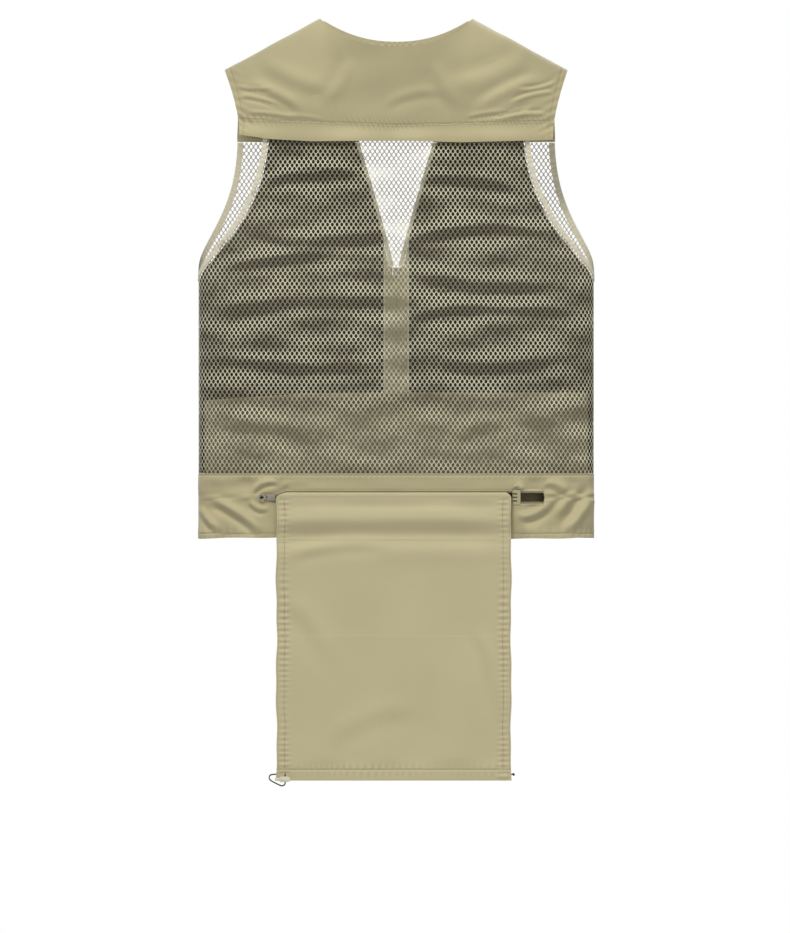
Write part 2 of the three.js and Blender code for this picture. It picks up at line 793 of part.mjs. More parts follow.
function frontYoke(hand) {
  const tipZ = ridgeZ(shoulderTipHalf);
  return cloth({
    side: FRONT,
    hand,
    columns: 9,
    rows: 9,
    at: (s, t) => {
      const fall = (1 - t) ** 2;
      const innerZ = mix(0, frontSeamZ, fall);
      const outerZ = mix(tipZ, frontSeamZ, fall);
      const topX = mix(neckHalfWidth, shoulderTipHalf, s);
      const inner = vHalf(innerZ);
      const outer = t === 1 ? shoulderTipHalf : frontYokeHalf(outerZ);
      return { x: mix(inner, outer, s), z: mix(ridgeZ(topX), frontSeamZ, fall) };
    },
    lifts: evenLifts(...yokeLifts),
  });
}

function frontNetPanel(hand) {
  const inner = (z) => Math.max(inset(vHalf, z, vBindingWidth + curvedSeamGap), netInner);
  const rows = armholeRows(frontArmhole, frontBindingWidth, (z) => girthAt(inner(z)));
  return rowedCloth({ side: FRONT, hand, columns: frontColumns, rows, lifts: netLifts });
}

function frontNeckBinding(hand) {
  const bottomZ = vTipZ + 0.5;
  const topZ = frontSeamZ - 2 * seamGap;
  return cloth({
    side: FRONT,
    hand,
    columns: 1,
    rows: 6,
    at: (s, t) => {
      const z = mix(bottomZ, topZ, t);
      return { x: mix(vHalf(z), inset(vHalf, z, vBindingWidth), s), z };
    },
    lifts: evenLifts(-bindingThickness / 2, bindingThickness / 2),
  });
}

function frontPlacket(hand) {
  const bound = (z) => Math.min(inset(vHalf, z, vBindingWidth + curvedSeamGap), placketOuter - seamGap);
  const besideV = [vTipZ - seamGap, (vTipZ + placketTopZ) / 2, placketTopZ];
  const rows = [
    ...[hemBottomZ, vTipZ - 2 * seamGap].map((z) => ({ z, from: placketInner, to: placketOuter })),
    ...besideV.map((z) => ({ z, from: bound(z), to: placketOuter })),
  ];
  return rowedCloth({ side: FRONT, hand, columns: 1, rows, lifts: netLifts });
}

function frontZipHalf(hand) {
  const topZ = hand === RIGHT ? vTipZ - zipStopGap : frontSliderZ - sliderLength / 2 - seamGap;
  const bottomZ = hand === RIGHT ? hemBottomZ : hemBottomZ + sliderLength + zipStopGap;
  const inner = coilHalfGap;
  const outer = inner + coilWidth;
  const edge = inner + coilWidth + tapeWidth;
  const tapeIn = bodyHalfDepth + tapeOuterLift - tapeThickness;
  const tapeOut = bodyHalfDepth + tapeOuterLift;
  const coilOut = bodyHalfDepth + coilOuterLift;
  const section = outline([
    [hand * inner, tapeIn],
    [hand * edge, tapeIn],
    [hand * edge, tapeOut],
    [hand * outer, tapeOut],
    [hand * outer, coilOut],
    [hand * inner, coilOut],
  ]);
  return extruded(section, topZ - bottomZ).translate(0, 0, bottomZ);
}

function frontHemPanel(hand) {
  const rows = [hemBottomZ, hemSeamZ].map((z) => ({ z, from: girthAt(netInner), to: sideGirth }));
  return rowedCloth({ side: FRONT, hand, columns: frontColumns, rows, lifts: netLifts });
}

// A patch pocket: sewn down at its sides and foot, standing off the front at its mouth.
function pocketPouch(hand, { inner, outer, mouthZ, bottomZ, depth, side, foot }) {
  const base = netThickness / 2 + seamGap;
  return cloth({
    side: FRONT,
    hand,
    columns: 12,
    rows: 6,
    at: (s, t) => ({ x: mix(inner, outer, s), z: mix(bottomZ, mouthZ, t) }),
    lifts: (s, t) => {
      const fromSide = Math.min(s, 1 - s) * (outer - inner);
      const fromFoot = t * (mouthZ - bottomZ);
      const swell = depth * smooth(fromSide / side) * smooth(fromFoot / foot);
      return [base + swell, base + swell + clothThickness];
    },
  });
}

// The flap is sewn to the front above the mouth and reaches down outside the pouch.
function pocketFlap(hand, pocket, { rootZ, height }) {
  const base = netThickness / 2 + seamGap;
  const proud = pocket.depth + clothThickness + seamGap;
  return cloth({
    side: FRONT,
    hand,
    columns: 10,
    rows: 5,
    at: (s, t) => ({
      x: mix(pocket.inner - pocketFlapOverhang, pocket.outer + pocketFlapOverhang, s),
      z: rootZ - height * (1 - t) ** 1.3,
    }),
    lifts: (s, t) => {
      const rise = proud * smooth((height * (1 - t) ** 1.3) / pocketFlapRise);
      return [base + rise, base + rise + clothThickness];
    },
  });
}

// ---------------------------------------------------------------- assembly

const vest = new THREE.Group();

function add(name, finish, geometry) {
  const mesh = new THREE.Mesh(geometry, new THREE.MeshStandardMaterial(finishes[finish]));
  mesh.name = name;
  vest.add(mesh);
}

add('back_yoke', 'nylon', backYoke());
add('neck_binding', 'nylon', neckBinding());
add('back_net_panel', 'net', backNetPanel());
add('back_hem_panel', 'nylon', backHemPanel());
add('back_pocket_bag', 'nylon', backPocketBag());
add('back_zip_upper_half', 'tape', slotZipHalf(1));
add('back_zip_lower_half', 'tape', slotZipHalf(-1));
add('back_zip_slider', 'metal', seated(slider(), ...backZipFrame()));
add('back_zip_pull', 'metal', seated(pull(backPullStem), ...backZipFrame()));
add('zip_end_tab', 'tab', zipEndTab());

add('flap_anchor', 'nylon', flapAnchor());
add('flap_upper', 'nylon', flapPanel(flapTopZ, flapUpperLength));
add('flap_middle', 'nylon', flapPanel(flapUpperZ, flapMiddleLength));
add('flap_lower', 'nylon', flapPanel(flapMiddleZ, flapLowerLength));
add('flap_drawcord_channel', 'nylon', drawcordChannel());
add('drawcord', 'cord', drawcord());
add('cord_lock_barrel', 'toggle', lockBarrel());
add('cord_lock_plunger', 'toggle', lockPlunger());
add('cord_lock_spring', 'spring', lockSpring());

add('front_zip_slider', 'metal', seated(slider(), ...frontZipFrame));
add('front_zip_pull', 'metal', seated(pull(frontPullStem), ...frontZipFrame));

for (const [word, hand] of [['left', LEFT], ['right', RIGHT]]) {
  const backBinding = armholeBinding(BACK, hand, backArmhole, backBindingWidth);
  const frontBinding = armholeBinding(FRONT, hand, frontArmhole, frontBindingWidth);
  add(`back_armhole_binding_${word}`, 'binding', backBinding);
  add(`front_armhole_binding_${word}`, 'binding', frontBinding);
  add(`front_yoke_${word}`, 'nylon', frontYoke(hand));
  add(`front_net_panel_${word}`, 'net', frontNetPanel(hand));
  add(`front_neck_binding_${word}`, 'binding', frontNeckBinding(hand));
  add(`front_placket_${word}`, 'nylon', frontPlacket(hand));
  add(`front_zip_half_${word}`, 'tape', frontZipHalf(hand));
  add(`front_hem_panel_${word}`, 'nylon', frontHemPanel(hand));
  add(`chest_pocket_${word}`, 'nylon', pocketPouch(hand, chestPocket));
  add(`chest_pocket_flap_${word}`, 'nylon', pocketFlap(hand, chestPocket, chestFlap));
  add(`lower_pocket_${word}`, 'nylon', pocketPouch(hand, lowerPocket));
  add(`lower_pocket_flap_${word}`, 'nylon', pocketFlap(hand, lowerPocket, lowerFlap));
}

export default vest;
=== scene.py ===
"""Looks of a khaki fishing vest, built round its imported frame.

Lengths are in metres. +Z is up, the back of the vest faces -Y and the wearer's right is +X.
"""

from __future__ import annotations

import logging
import math
from dataclasses import dataclass
from enum import Enum
from typing import Callable, Sequence

import bpy
import numpy as np
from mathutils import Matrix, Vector


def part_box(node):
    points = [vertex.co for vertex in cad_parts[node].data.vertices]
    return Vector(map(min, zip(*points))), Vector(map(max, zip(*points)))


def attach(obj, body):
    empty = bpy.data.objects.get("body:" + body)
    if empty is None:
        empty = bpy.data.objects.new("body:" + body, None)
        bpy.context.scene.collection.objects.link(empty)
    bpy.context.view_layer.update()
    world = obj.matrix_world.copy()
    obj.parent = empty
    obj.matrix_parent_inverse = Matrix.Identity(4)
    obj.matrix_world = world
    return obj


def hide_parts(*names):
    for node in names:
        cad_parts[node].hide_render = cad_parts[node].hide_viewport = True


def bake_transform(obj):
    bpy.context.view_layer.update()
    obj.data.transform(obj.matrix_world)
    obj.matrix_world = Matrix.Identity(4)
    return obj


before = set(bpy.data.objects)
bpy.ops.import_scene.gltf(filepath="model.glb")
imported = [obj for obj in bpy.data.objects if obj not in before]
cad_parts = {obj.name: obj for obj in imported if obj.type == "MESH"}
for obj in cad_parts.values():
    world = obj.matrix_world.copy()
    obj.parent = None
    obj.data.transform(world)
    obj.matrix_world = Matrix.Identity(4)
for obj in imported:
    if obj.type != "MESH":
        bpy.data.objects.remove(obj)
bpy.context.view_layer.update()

log = logging.getLogger("vest")

Array = np.ndarray
Surface = Callable[[Array, Array], Array]

MM = 0.001
BAKE_UV = "OFBake"
CLOTH_UV = "Cloth"
SEAM_MASK = "seam"
# Vertex mask of painted light and shade: lighter on crests that face up, darker in folds.
FOLD_LIGHT_SHADE_MASK = "fold"


class Side(Enum):
    """Which face of the body a piece lies on."""

    BACK = -1
    FRONT = 1


class Hand(Enum):
    """The wearer's left or right."""

    LEFT = -1
    RIGHT = 1

    @property
    def word(self) -> str:
        """The hand as it is written in node and body names."""
        return self.name.lower()

    @property
    def body(self) -> str:
        """The moving front on this hand."""
        return f"front_{self.word}"


# ------------------------------------------------------------------ number tools


def smooth(value: Array | float) -> Array:
    """Eases from 0 at 0 to 1 at 1."""
    t = np.clip(value, 0.0, 1.0)
    return t * t * (3 - 2 * t)


def mix(a: Array | float, b: Array | float, t: Array | float) -> Array:
    """Mixes a and b by t."""
    return a + (np.asarray(b) - a) * t


def graded(start: float, end: float, fine: float, coarse: float, margin: float) -> Array:
    """Places grid lines closely near both ends and further apart between.

    Args:
        start: first line.
        end: last line.
        fine: spacing within the margins.
        coarse: spacing between them.
        margin: how far the fine spacing reaches from each end.

    Returns:
        The places of the lines, in order.
    """
    length = abs(end - start)
    margin = min(margin, length / 2)
    edge = np.linspace(0, margin, max(int(round(margin / fine)), 1) + 1)
    inner = length - 2 * margin
    middle = np.linspace(margin, margin + inner, max(int(round(inner / coarse)), 1) + 1)[1:-1]
    places = np.unique(np.concatenate([edge, middle, length - edge[::-1]]).round(9))
    return start + places * math.copysign(1, end - start)


def unit(vectors: Array) -> Array:
    """Scales each vector to length 1."""
    return vectors / np.maximum(np.linalg.norm(vectors, axis=-1, keepdims=True), 1e-12)


def rumple(
    x: Array, z: Array, wavelength: float, height: float, seed: int, squeeze: float = 1.0
) -> Array:
    """Soft irregular undulation of cloth.

    Args:
        x: places across.
        z: places up.
        wavelength: typical distance between two crests.
        height: rough height of a crest.
        seed: picks the pattern.
        squeeze: over 1 lays the crests more level.

    Returns:
        Height at each place.
    """
    chance = np.random.default_rng(seed)
    total = np.zeros(np.broadcast(x, z).shape)
    for _ in range(7):
        angle = chance.uniform(0, math.pi)
        turn = 2 * math.pi / (wavelength * chance.uniform(0.7, 1.6))
        wave = (x * math.cos(angle) + z * math.sin(angle) * squeeze) * turn
        total = total + np.sin(wave + chance.uniform(0, 2 * math.pi))
    return total * height / 3.2


@dataclass(frozen=True)
class Crease:
    """A fold that runs from one point to another, bowed sideways by a share of its length."""

    start: tuple[float, float]
    end: tuple[float, float]
    width: float
    height: float
    bow: float = 0.0

    def lift(self, x: Array, z: Array) -> Array:
        """Height that the fold adds.

        Args:
            x: places across.
            z: places up.

        Returns:
            Height at each place.
        """
        along = np.array(self.end) - np.array(self.start)
        length = float(np.hypot(*along))
        along = along / length
        t = ((x - self.start[0]) * along[0] + (z - self.start[1]) * along[1]) / length
        off = -(x - self.start[0]) * along[1] + (z - self.start[1]) * along[0]
        off = off - self.bow * length * 4 * t * (1 - t)
        fade = smooth(t / 0.25) * smooth((1 - t) / 0.35)
        ridge = np.exp(-((off / self.width) ** 2))
        valley = np.exp(-(((off + 1.5 * self.width) / self.width) ** 2))
        return self.height * fade * (ridge - 0.75 * valley)


def creased(creases: Sequence[Crease], x: Array, z: Array) -> Array:
    """Height that a set of folds adds."""
    return sum((crease.lift(x, z) for crease in creases), np.zeros(np.broadcast(x, z).shape))


def pucker(
    along: Array, off: Array, pitch: float, height: float, reach: float, seed: int
) -> Array:
    """Ruching beside a row of stitches.

    Args:
        along: distance along the row.
        off: distance from the row.
        pitch: distance between puckers.
        height: height of a pucker.
        reach: how far the puckers run out from the row.
        seed: picks the pattern.

    Returns:
        Height at each place, with a fine groove on the row itself.
    """
    chance = np.random.default_rng(seed)
    drift = sum(np.sin(along / (pitch * k) + chance.uniform(0, 6)) * k for k in (1.7, 3.1, 5.3))
    wave = np.sin(2 * math.pi * along / pitch + drift * 0.55)
    strength = 0.6 + 0.4 * np.sin(along / (pitch * 4.1) + seed)
    groove = 0.45 * MM * np.exp(-((off / (1.1 * MM)) ** 2))
    return height * wave * strength * np.exp(-((off / reach) ** 2)) - groove


# ------------------------------------------------------------------ the body form


@dataclass(frozen=True)
class BodyForm:
    """The filled-out shape that every panel of the vest lies on."""

    half_width: float
    half_depth: float
    shoulder_round: float = 120 * MM
    shoulder_slope: float = 0.5615
    shoulder_softness: float = 40 * MM
    neck_half: float = 102.5 * MM
    tip_half: float = 232 * MM
    power: float = 3.0

    @classmethod
    def from_frame(cls) -> BodyForm:
        """Takes the width and depth from the hem panel of the frame."""
        low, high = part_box("back_hem_panel")
        return cls(half_width=high.x - 1 * MM, half_depth=-low.y - 1 * MM)

    def ridge(self, x: Array | float) -> Array:
        """Height of the shoulder line at x."""
        top = math.hypot(self.neck_half, self.shoulder_softness)
        return self.shoulder_slope * (top - np.hypot(x, self.shoulder_softness))

    def point(self, side: Side, x: Array, z: Array, lift: Array | float = 0.0) -> Array:
        """Places points on the form.

        Args:
            side: back or front.
            x: places across.
            z: heights.
            lift: how far the points stand off the form along its outward normal.

        Returns:
            Points, in an array with one more axis.
        """
        x, z = np.broadcast_arrays(np.asarray(x, float), np.asarray(z, float))
        across = np.minimum(np.abs(x) / self.half_width, 1.0)
        fullness = (1 - across**self.power) ** (1 / self.power)
        drop = np.clip((self.ridge(x) - z) / self.shoulder_round, 0, 1)
        swell = np.sqrt(np.maximum(1 - (1 - drop) ** 2, 0))
        turn = (1 - drop) / self.shoulder_round
        slope = -self.shoulder_slope * x / np.hypot(x, self.shoulder_softness)
        sideways = np.sign(x) * across ** (self.power - 1) * swell**2 / self.half_width
        normal = np.stack(
            [
                self.half_depth * (sideways - fullness**self.power * turn * slope),
                side.value * fullness ** (self.power - 1) * swell,
                self.half_depth * fullness**self.power * turn,
            ],
            axis=-1,
        )
        base = np.stack([x, side.value * self.half_depth * fullness * swell, z], axis=-1)
        placed = base + unit(normal) * np.broadcast_to(lift, x.shape)[..., None]
        placed[..., 1] = side.value * np.maximum(side.value * placed[..., 1], 0.15 * MM)
        return placed

    def girth_table(self) -> tuple[Array, Array]:
        """How far round the body each place across lies.

        Returns:
            Places across the form, and the girth at each.
        """
        x = self.half_width * np.sin(np.linspace(0, math.pi / 2, 601))
        y = self.half_depth * (1 - (x / self.half_width) ** self.power) ** (1 / self.power)
        steps = np.hypot(np.diff(x), np.diff(y))
        return x, np.concatenate([[0.0], np.cumsum(steps)])

    def girth_at(self, x: Array | float) -> Array:
        """Distance round the body from the centre line to x."""
        places, girth = self.girth_table()
        return np.sign(x) * np.interp(np.abs(x), places, girth)

    def x_at(self, girth: Array | float) -> Array:
        """The place across the form that lies at a girth."""
        places, table = self.girth_table()
        return np.sign(girth) * np.interp(np.abs(girth), table, places)

    @property
    def side_girth(self) -> float:
        """Girth from the centre line to a side seam."""
        return float(self.girth_table()[1][-1])


@dataclass(frozen=True)
class Cut:
    """Heights and edges that the panels of the vest share."""

    form: BodyForm
    hem_seam: float = -616 * MM
    hem_bottom: float = -705 * MM
    yoke_edge: float = -166 * MM
    yoke_stitch: float = -146 * MM
    front_seam: float = -164 * MM
    v_tip: float = -334 * MM
    placket_inner: float = 5 * MM
    placket_outer: float = 16.5 * MM

    def yoke_half(self, z: Array) -> Array:
        """Half the yoke's width.

        Args:
            z: heights.

        Returns:
            Half widths.
        """
        tip = float(self.form.ridge(self.form.tip_half))
        t = np.clip((tip - z) / (tip - self.yoke_edge), 0, 1)
        return 211 * MM + (self.form.tip_half - 211 * MM) * (1 - t) ** 1.6

    def front_yoke_half(self, z: Array) -> Array:
        """Where the front yoke's armhole edge lies at a height."""
        low = smooth((self.front_seam + 50 * MM - z) / (50 * MM))
        return self.yoke_half(z) - 1.5 * MM + 7 * MM * low

    def v_half(self, z: Array) -> Array:
        """Half the width of the V neck at a height."""
        return (
            3.2 * MM
            + (self.form.neck_half - 3.2 * MM) * np.clip(1 - z / self.v_tip, 0, 1) ** 1.1
        )

    def neckline(self, x: Array) -> Array:
        """Height of the back neck's edge."""
        return -32.6 * MM * (1 - np.minimum(np.abs(x) / self.form.neck_half, 1) ** 2.2)

    def armhole(self, side: Side, u: Array, width: Array | float) -> tuple[Array, Array]:
        """Runs down an armhole from its top to the side seam.

        Args:
            side: back or front.
            u: from 0 at the top to 1 at the seam.
            width: how far into the cloth from the edge.

        Returns:
            Girths and heights.
        """
        if side is Side.BACK:
            points = [
                (self.form.girth_at(179 * MM), -0.1463), (0.183, -0.22), (0.203, -0.272),
                (self.form.side_girth, -0.352)
            ]
        else:
            points = [
                (self.form.girth_at(216.5 * MM), -0.1646), (0.22, -0.238), (0.24, -0.272),
                (self.form.side_girth, -0.345)
            ]
        p0, p1, p2, p3 = (np.array([float(a), b]) for a, b in points)
        u = np.asarray(u, float)[..., None]
        place = (
            p0 * (1 - u) ** 3 + 3 * p1 * u * (1 - u) ** 2 + 3 * p2 * u * u * (1 - u)
            + p3 * u**3
        )
        run = 3 * (p1 - p0) * (1 - u) ** 2 + 6 * (p2 - p1) * u * (1 - u) + 3 * (p3 - p2) * u * u
        run = unit(run)
        girth = np.minimum(place[..., 0] + run[..., 1] * width, self.form.side_girth)
        return girth, place[..., 1] - run[..., 0] * width

    def armhole_girth(self, side: Side, z: Array, width: float) -> Array:
        """Girth of the armhole's edge; the side seam below it.

        Args:
            side: back or front.
            z: heights.
            width: how far into the cloth from the edge.

        Returns:
            Girths.
        """
        girth, height = self.armhole(side, np.linspace(0, 1, 200), width)
        reach = np.interp(-z, -height, girth)
        return np.where(z < height.min(), self.form.side_girth, reach)


# ------------------------------------------------------------------ shader node groups


class Nodes:
    """Short hand for building a node tree."""

    def __init__(self, tree: bpy.types.NodeTree) -> None:
        """Holds the tree that nodes are added to."""
        self.tree = tree

    def add(self, kind: str, **settings: object) -> bpy.types.Node:
        """Adds a node.

        Args:
            kind: its type.
            settings: its properties.

        Returns:
            The node.
        """
        node = self.tree.nodes.new(kind)
        for name, value in settings.items():
            setattr(node, name, value)
        return node

    def feed(self, target: bpy.types.NodeSocket, source: object) -> None:
        """Links a socket to another, or sets its number or colour.

        Args:
            target: the socket that is fed.
            source: a socket or a value.
        """
        if isinstance(source, bpy.types.NodeSocket):
            self.tree.links.new(source, target)
        else:
            target.default_value = source

    def math(self, operation: str, a: object, b: object = 0.0) -> bpy.types.NodeSocket:
        """Adds a Math node.

        Args:
            operation: what it works out.
            a: first input.
            b: second input.

        Returns:
            The result's socket.
        """
        node = self.add("ShaderNodeMath", operation=operation)
        self.feed(node.inputs[0], a)
        self.feed(node.inputs[1], b)
        return node.outputs[0]

    def blend(
        self, factor: object, a: object, b: object, mode: str = "MIX"
    ) -> bpy.types.NodeSocket:
        """Adds a colour Mix node.

        Args:
            factor: share of b.
            a: first colour.
            b: second colour.
            mode: how they mix.

        Returns:
            The mixed colour's socket.
        """
        node = self.add("ShaderNodeMix", data_type="RGBA", blend_type=mode)
        self.feed(node.inputs[0], factor)
        self.feed(node.inputs[6], a)
        self.feed(node.inputs[7], b)
        return node.outputs[2]

    def ramp(
        self, value: object, low: float, high: float, to_low: float, to_high: float
    ) -> bpy.types.NodeSocket:
        """Maps a value from one range to another, held at its ends.

        Args:
            value: what is mapped.
            low: the range's start.
            high: the range's end.
            to_low: what the start becomes.
            to_high: what the end becomes.

        Returns:
            The mapped value's socket.
        """
        node = self.add("ShaderNodeMapRange")
        for socket, source in zip(node.inputs, (value, low, high, to_low, to_high)):
            self.feed(socket, source)
        return node.outputs[0]


def new_group(
    name: str, inputs: Sequence[tuple[str, str, float]], outputs: Sequence[tuple[str, str]]
) -> tuple[Nodes, bpy.types.Node, bpy.types.Node]:
    """Starts a shader node group.

    Args:
        name: the group's name.
        inputs: name, kind and first value of each input.
        outputs: name and kind of each output.

    Returns:
        The tree's helper, its input node and its output node.
    """
    tree = bpy.data.node_groups.new(name, "ShaderNodeTree")
    for label, kind, value in inputs:
        socket = tree.interface.new_socket(name=label, in_out="INPUT", socket_type=kind)
        if kind == "NodeSocketFloat":
            socket.default_value = value
    for label, kind in outputs:
        tree.interface.new_socket(name=label, in_out="OUTPUT", socket_type=kind)
    nodes = Nodes(tree)
    return nodes, nodes.add("NodeGroupInput"), nodes.add("NodeGroupOutput")


class Effects:
    """Node groups that several finishes share, each built once."""

    _made: dict[str, bpy.types.NodeTree] = {}

    @classmethod
    def weave(cls) -> bpy.types.NodeTree:
        """Plain weave: threads that pass over and under each other.

        Returns:
            The group, which gives Height and Shade.
        """
        if "weave" not in cls._made:
            nodes, given, out = new_group(
                "Plain weave",
                [
                    ("Vector", "NodeSocketVector", 0), ("Threads", "NodeSocketFloat", 2500),
                    ("Slub", "NodeSocketFloat", 0.3)
                ],
                [("Height", "NodeSocketFloat"), ("Shade", "NodeSocketFloat")],
            )
            parts = nodes.add("ShaderNodeSeparateXYZ")
            nodes.feed(parts.inputs[0], given.outputs["Vector"])
            turn = nodes.math("MULTIPLY", given.outputs["Threads"], math.pi)
            warp = nodes.math("SINE", nodes.math("MULTIPLY", parts.outputs[0], turn))
            weft = nodes.math("SINE", nodes.math("MULTIPLY", parts.outputs[1], turn))
            over = nodes.math("MULTIPLY", warp, weft)
            slub = nodes.add("ShaderNodeTexNoise")
            nodes.feed(slub.inputs["Vector"], given.outputs["Vector"])
            nodes.feed(slub.inputs["Scale"], 260.0)
            uneven = nodes.math("MULTIPLY", slub.outputs[0], given.outputs["Slub"])
            nodes.feed(out.inputs["Height"], nodes.math("ADD", over, uneven))
            nodes.feed(out.inputs["Shade"], nodes.ramp(over, -1.0, 1.0, 0.0, 1.0))
            cls._made["weave"] = nodes.tree
        return cls._made["weave"]

    @classmethod
    def fade(cls) -> bpy.types.NodeTree:
        """Uneven dye: broad light and dark patches with a finer mottle.

        Returns:
            The group, which gives Broad and Fine.
        """
        if "fade" not in cls._made:
            nodes, given, out = new_group(
                "Uneven dye",
                [
                    ("Vector", "NodeSocketVector", 0), ("Patches", "NodeSocketFloat", 9),
                    ("Mottle", "NodeSocketFloat", 90)
                ],
                [("Broad", "NodeSocketFloat"), ("Fine", "NodeSocketFloat")],
            )
            for label, size, detail in (("Broad", "Patches", 3.0), ("Fine", "Mottle", 5.0)):
                noise = nodes.add("ShaderNodeTexNoise")
                nodes.feed(noise.inputs["Vector"], given.outputs["Vector"])
                nodes.feed(noise.inputs["Scale"], given.outputs[size])
                nodes.feed(noise.inputs["Detail"], detail)
                nodes.feed(out.inputs[label], nodes.ramp(noise.outputs[0], 0.3, 0.7, 0.0, 1.0))
            cls._made["fade"] = nodes.tree
        return cls._made["fade"]

    @classmethod
    def wear(cls) -> bpy.types.NodeTree:
        """Rubbed edges: a seam mask broken up by noise.

        Returns:
            The group, which gives Mask.
        """
        if "wear" not in cls._made:
            nodes, given, out = new_group(
                "Seam wear",
                [
                    ("Vector", "NodeSocketVector", 0), ("Seam", "NodeSocketFloat", 0),
                    ("Spread", "NodeSocketFloat", 0.5)
                ],
                [("Mask", "NodeSocketFloat")],
            )
            noise = nodes.add("ShaderNodeTexNoise")
            nodes.feed(noise.inputs["Vector"], given.outputs["Vector"])
            nodes.feed(noise.inputs["Scale"], 160.0)
            nodes.feed(noise.inputs["Detail"], 6.0)
            broken = nodes.math("MULTIPLY", noise.outputs[0], given.outputs["Spread"])
            rubbed = nodes.math("SUBTRACT", given.outputs["Seam"], broken)
            nodes.feed(out.inputs["Mask"], nodes.ramp(rubbed, 0.0, 0.6, 0.0, 1.0))
            cls._made["wear"] = nodes.tree
        return cls._made["wear"]


# ------------------------------------------------------------------ finishes


@dataclass(frozen=True)
class ClothFinish:
    """A woven or knitted cloth."""

    name: str
    colour: tuple[float, float, float]
    threads: float = 2600
    relief: float = 0.25
    roughness: float = 0.78
    sheen: float = 0.25
    patchiness: float = 0.1
    seam_light: float = 0.12
    fold_shade: float = 0.3
    gloss: float = 0.3

    def material(self) -> bpy.types.Material:
        """Makes the Blender material, once.

        Returns:
            The material.
        """
        known = bpy.data.materials.get(self.name)
        if known:
            return known
        material = bpy.data.materials.new(self.name)
        material.use_nodes = True
        nodes = Nodes(material.node_tree)
        shader = material.node_tree.nodes["Principled BSDF"]
        uv = nodes.add("ShaderNodeUVMap", uv_map=CLOTH_UV).outputs[0]
        seam = nodes.add("ShaderNodeAttribute", attribute_name=SEAM_MASK).outputs["Fac"]
        fold = nodes.add("ShaderNodeAttribute", attribute_name=FOLD_LIGHT_SHADE_MASK).outputs["Fac"]
        weave = nodes.add("ShaderNodeGroup", node_tree=Effects.weave())
        fade = nodes.add("ShaderNodeGroup", node_tree=Effects.fade())
        wear = nodes.add("ShaderNodeGroup", node_tree=Effects.wear())
        for group in (weave, fade, wear):
            nodes.feed(group.inputs["Vector"], uv)
        nodes.feed(weave.inputs["Threads"], self.threads)
        nodes.feed(wear.inputs["Seam"], seam)
        dark = tuple(c * (1 - self.patchiness) for c in self.colour) + (1.0,)
        light = tuple(min(c * (1 + self.patchiness), 1) for c in self.colour) + (1.0,)
        rubbed = tuple(min(c * (1 + self.seam_light) + 0.01, 1) for c in self.colour) + (1.0,)
        dyed = nodes.blend(fade.outputs["Broad"], dark, light)
        specks = nodes.blend(nodes.math("MULTIPLY", fade.outputs["Fine"], 0.35), dyed, dark)
        woven = nodes.blend(nodes.math("MULTIPLY", weave.outputs["Shade"], 0.3), specks, light)
        # Painted light and shade: the fold mask mixes a darker copy of the colour into folds and a
        # lighter copy onto crests that face up, half and half with the dyed and rubbed colour.
        painted_shade_colour = tuple(c * (1 - self.fold_shade) for c in self.colour) + (1.0,)
        pale = tuple(min(c * (1 + self.fold_shade), 1) for c in self.colour) + (1.0,)
        painted_fold_colour = nodes.blend(fold, painted_shade_colour, pale)
        settled = nodes.blend(0.5, nodes.blend(wear.outputs["Mask"], woven, rubbed), painted_fold_colour)
        nodes.feed(shader.inputs["Base Color"], settled)
        rough = nodes.ramp(
            fade.outputs["Fine"], 0.0, 1.0, self.roughness - 0.06, self.roughness + 0.08
        )
        nodes.feed(shader.inputs["Roughness"], rough)
        shader.inputs["Sheen Weight"].default_value = self.sheen
        shader.inputs["Sheen Roughness"].default_value = 0.5
        shader.inputs["Specular IOR Level"].default_value = self.gloss
        bump = nodes.add("ShaderNodeBump")
        bump.inputs["Strength"].default_value = self.relief
        bump.inputs["Distance"].default_value = 0.1 * MM
        nodes.feed(bump.inputs["Height"], weave.outputs["Height"])
        nodes.feed(shader.inputs["Normal"], bump.outputs[0])
        return material


@dataclass(frozen=True)
class HardFinish:
    """A moulded or plated finish for small fittings."""

    name: str
    colour: tuple[float, float, float]
    metallic: float = 0.0
    roughness: float = 0.4
    scuffs: float = 0.12

    def material(self) -> bpy.types.Material:
        """Makes the Blender material, once.

        Returns:
            The material.
        """
        known = bpy.data.materials.get(self.name)
        if known:
            return known
        material = bpy.data.materials.new(self.name)
        material.use_nodes = True
        nodes = Nodes(material.node_tree)
        shader = material.node_tree.nodes["Principled BSDF"]
        place = nodes.add("ShaderNodeTexCoord").outputs["Object"]
        fade = nodes.add("ShaderNodeGroup", node_tree=Effects.fade())
        nodes.feed(fade.inputs["Vector"], place)
        nodes.feed(fade.inputs["Patches"], 120.0)
        nodes.feed(fade.inputs["Mottle"], 900.0)
        dull = tuple(c * (1 - self.scuffs) for c in self.colour) + (1.0,)
        nodes.feed(
            shader.inputs["Base Color"],
            nodes.blend(fade.outputs["Broad"], dull, self.colour + (1.0,))
        )
        rough = nodes.ramp(
            fade.outputs["Fine"], 0.0, 1.0, self.roughness - 0.08, self.roughness + 0.12
        )
        nodes.feed(shader.inputs["Roughness"], rough)
        shader.inputs["Metallic"].default_value = self.metallic
        bump = nodes.add("ShaderNodeBump")
        bump.inputs["Strength"].default_value = 0.12
        bump.inputs["Distance"].default_value = 0.05 * MM
        nodes.feed(bump.inputs["Height"], fade.outputs["Fine"])
        nodes.feed(shader.inputs["Normal"], bump.outputs[0])
        return material


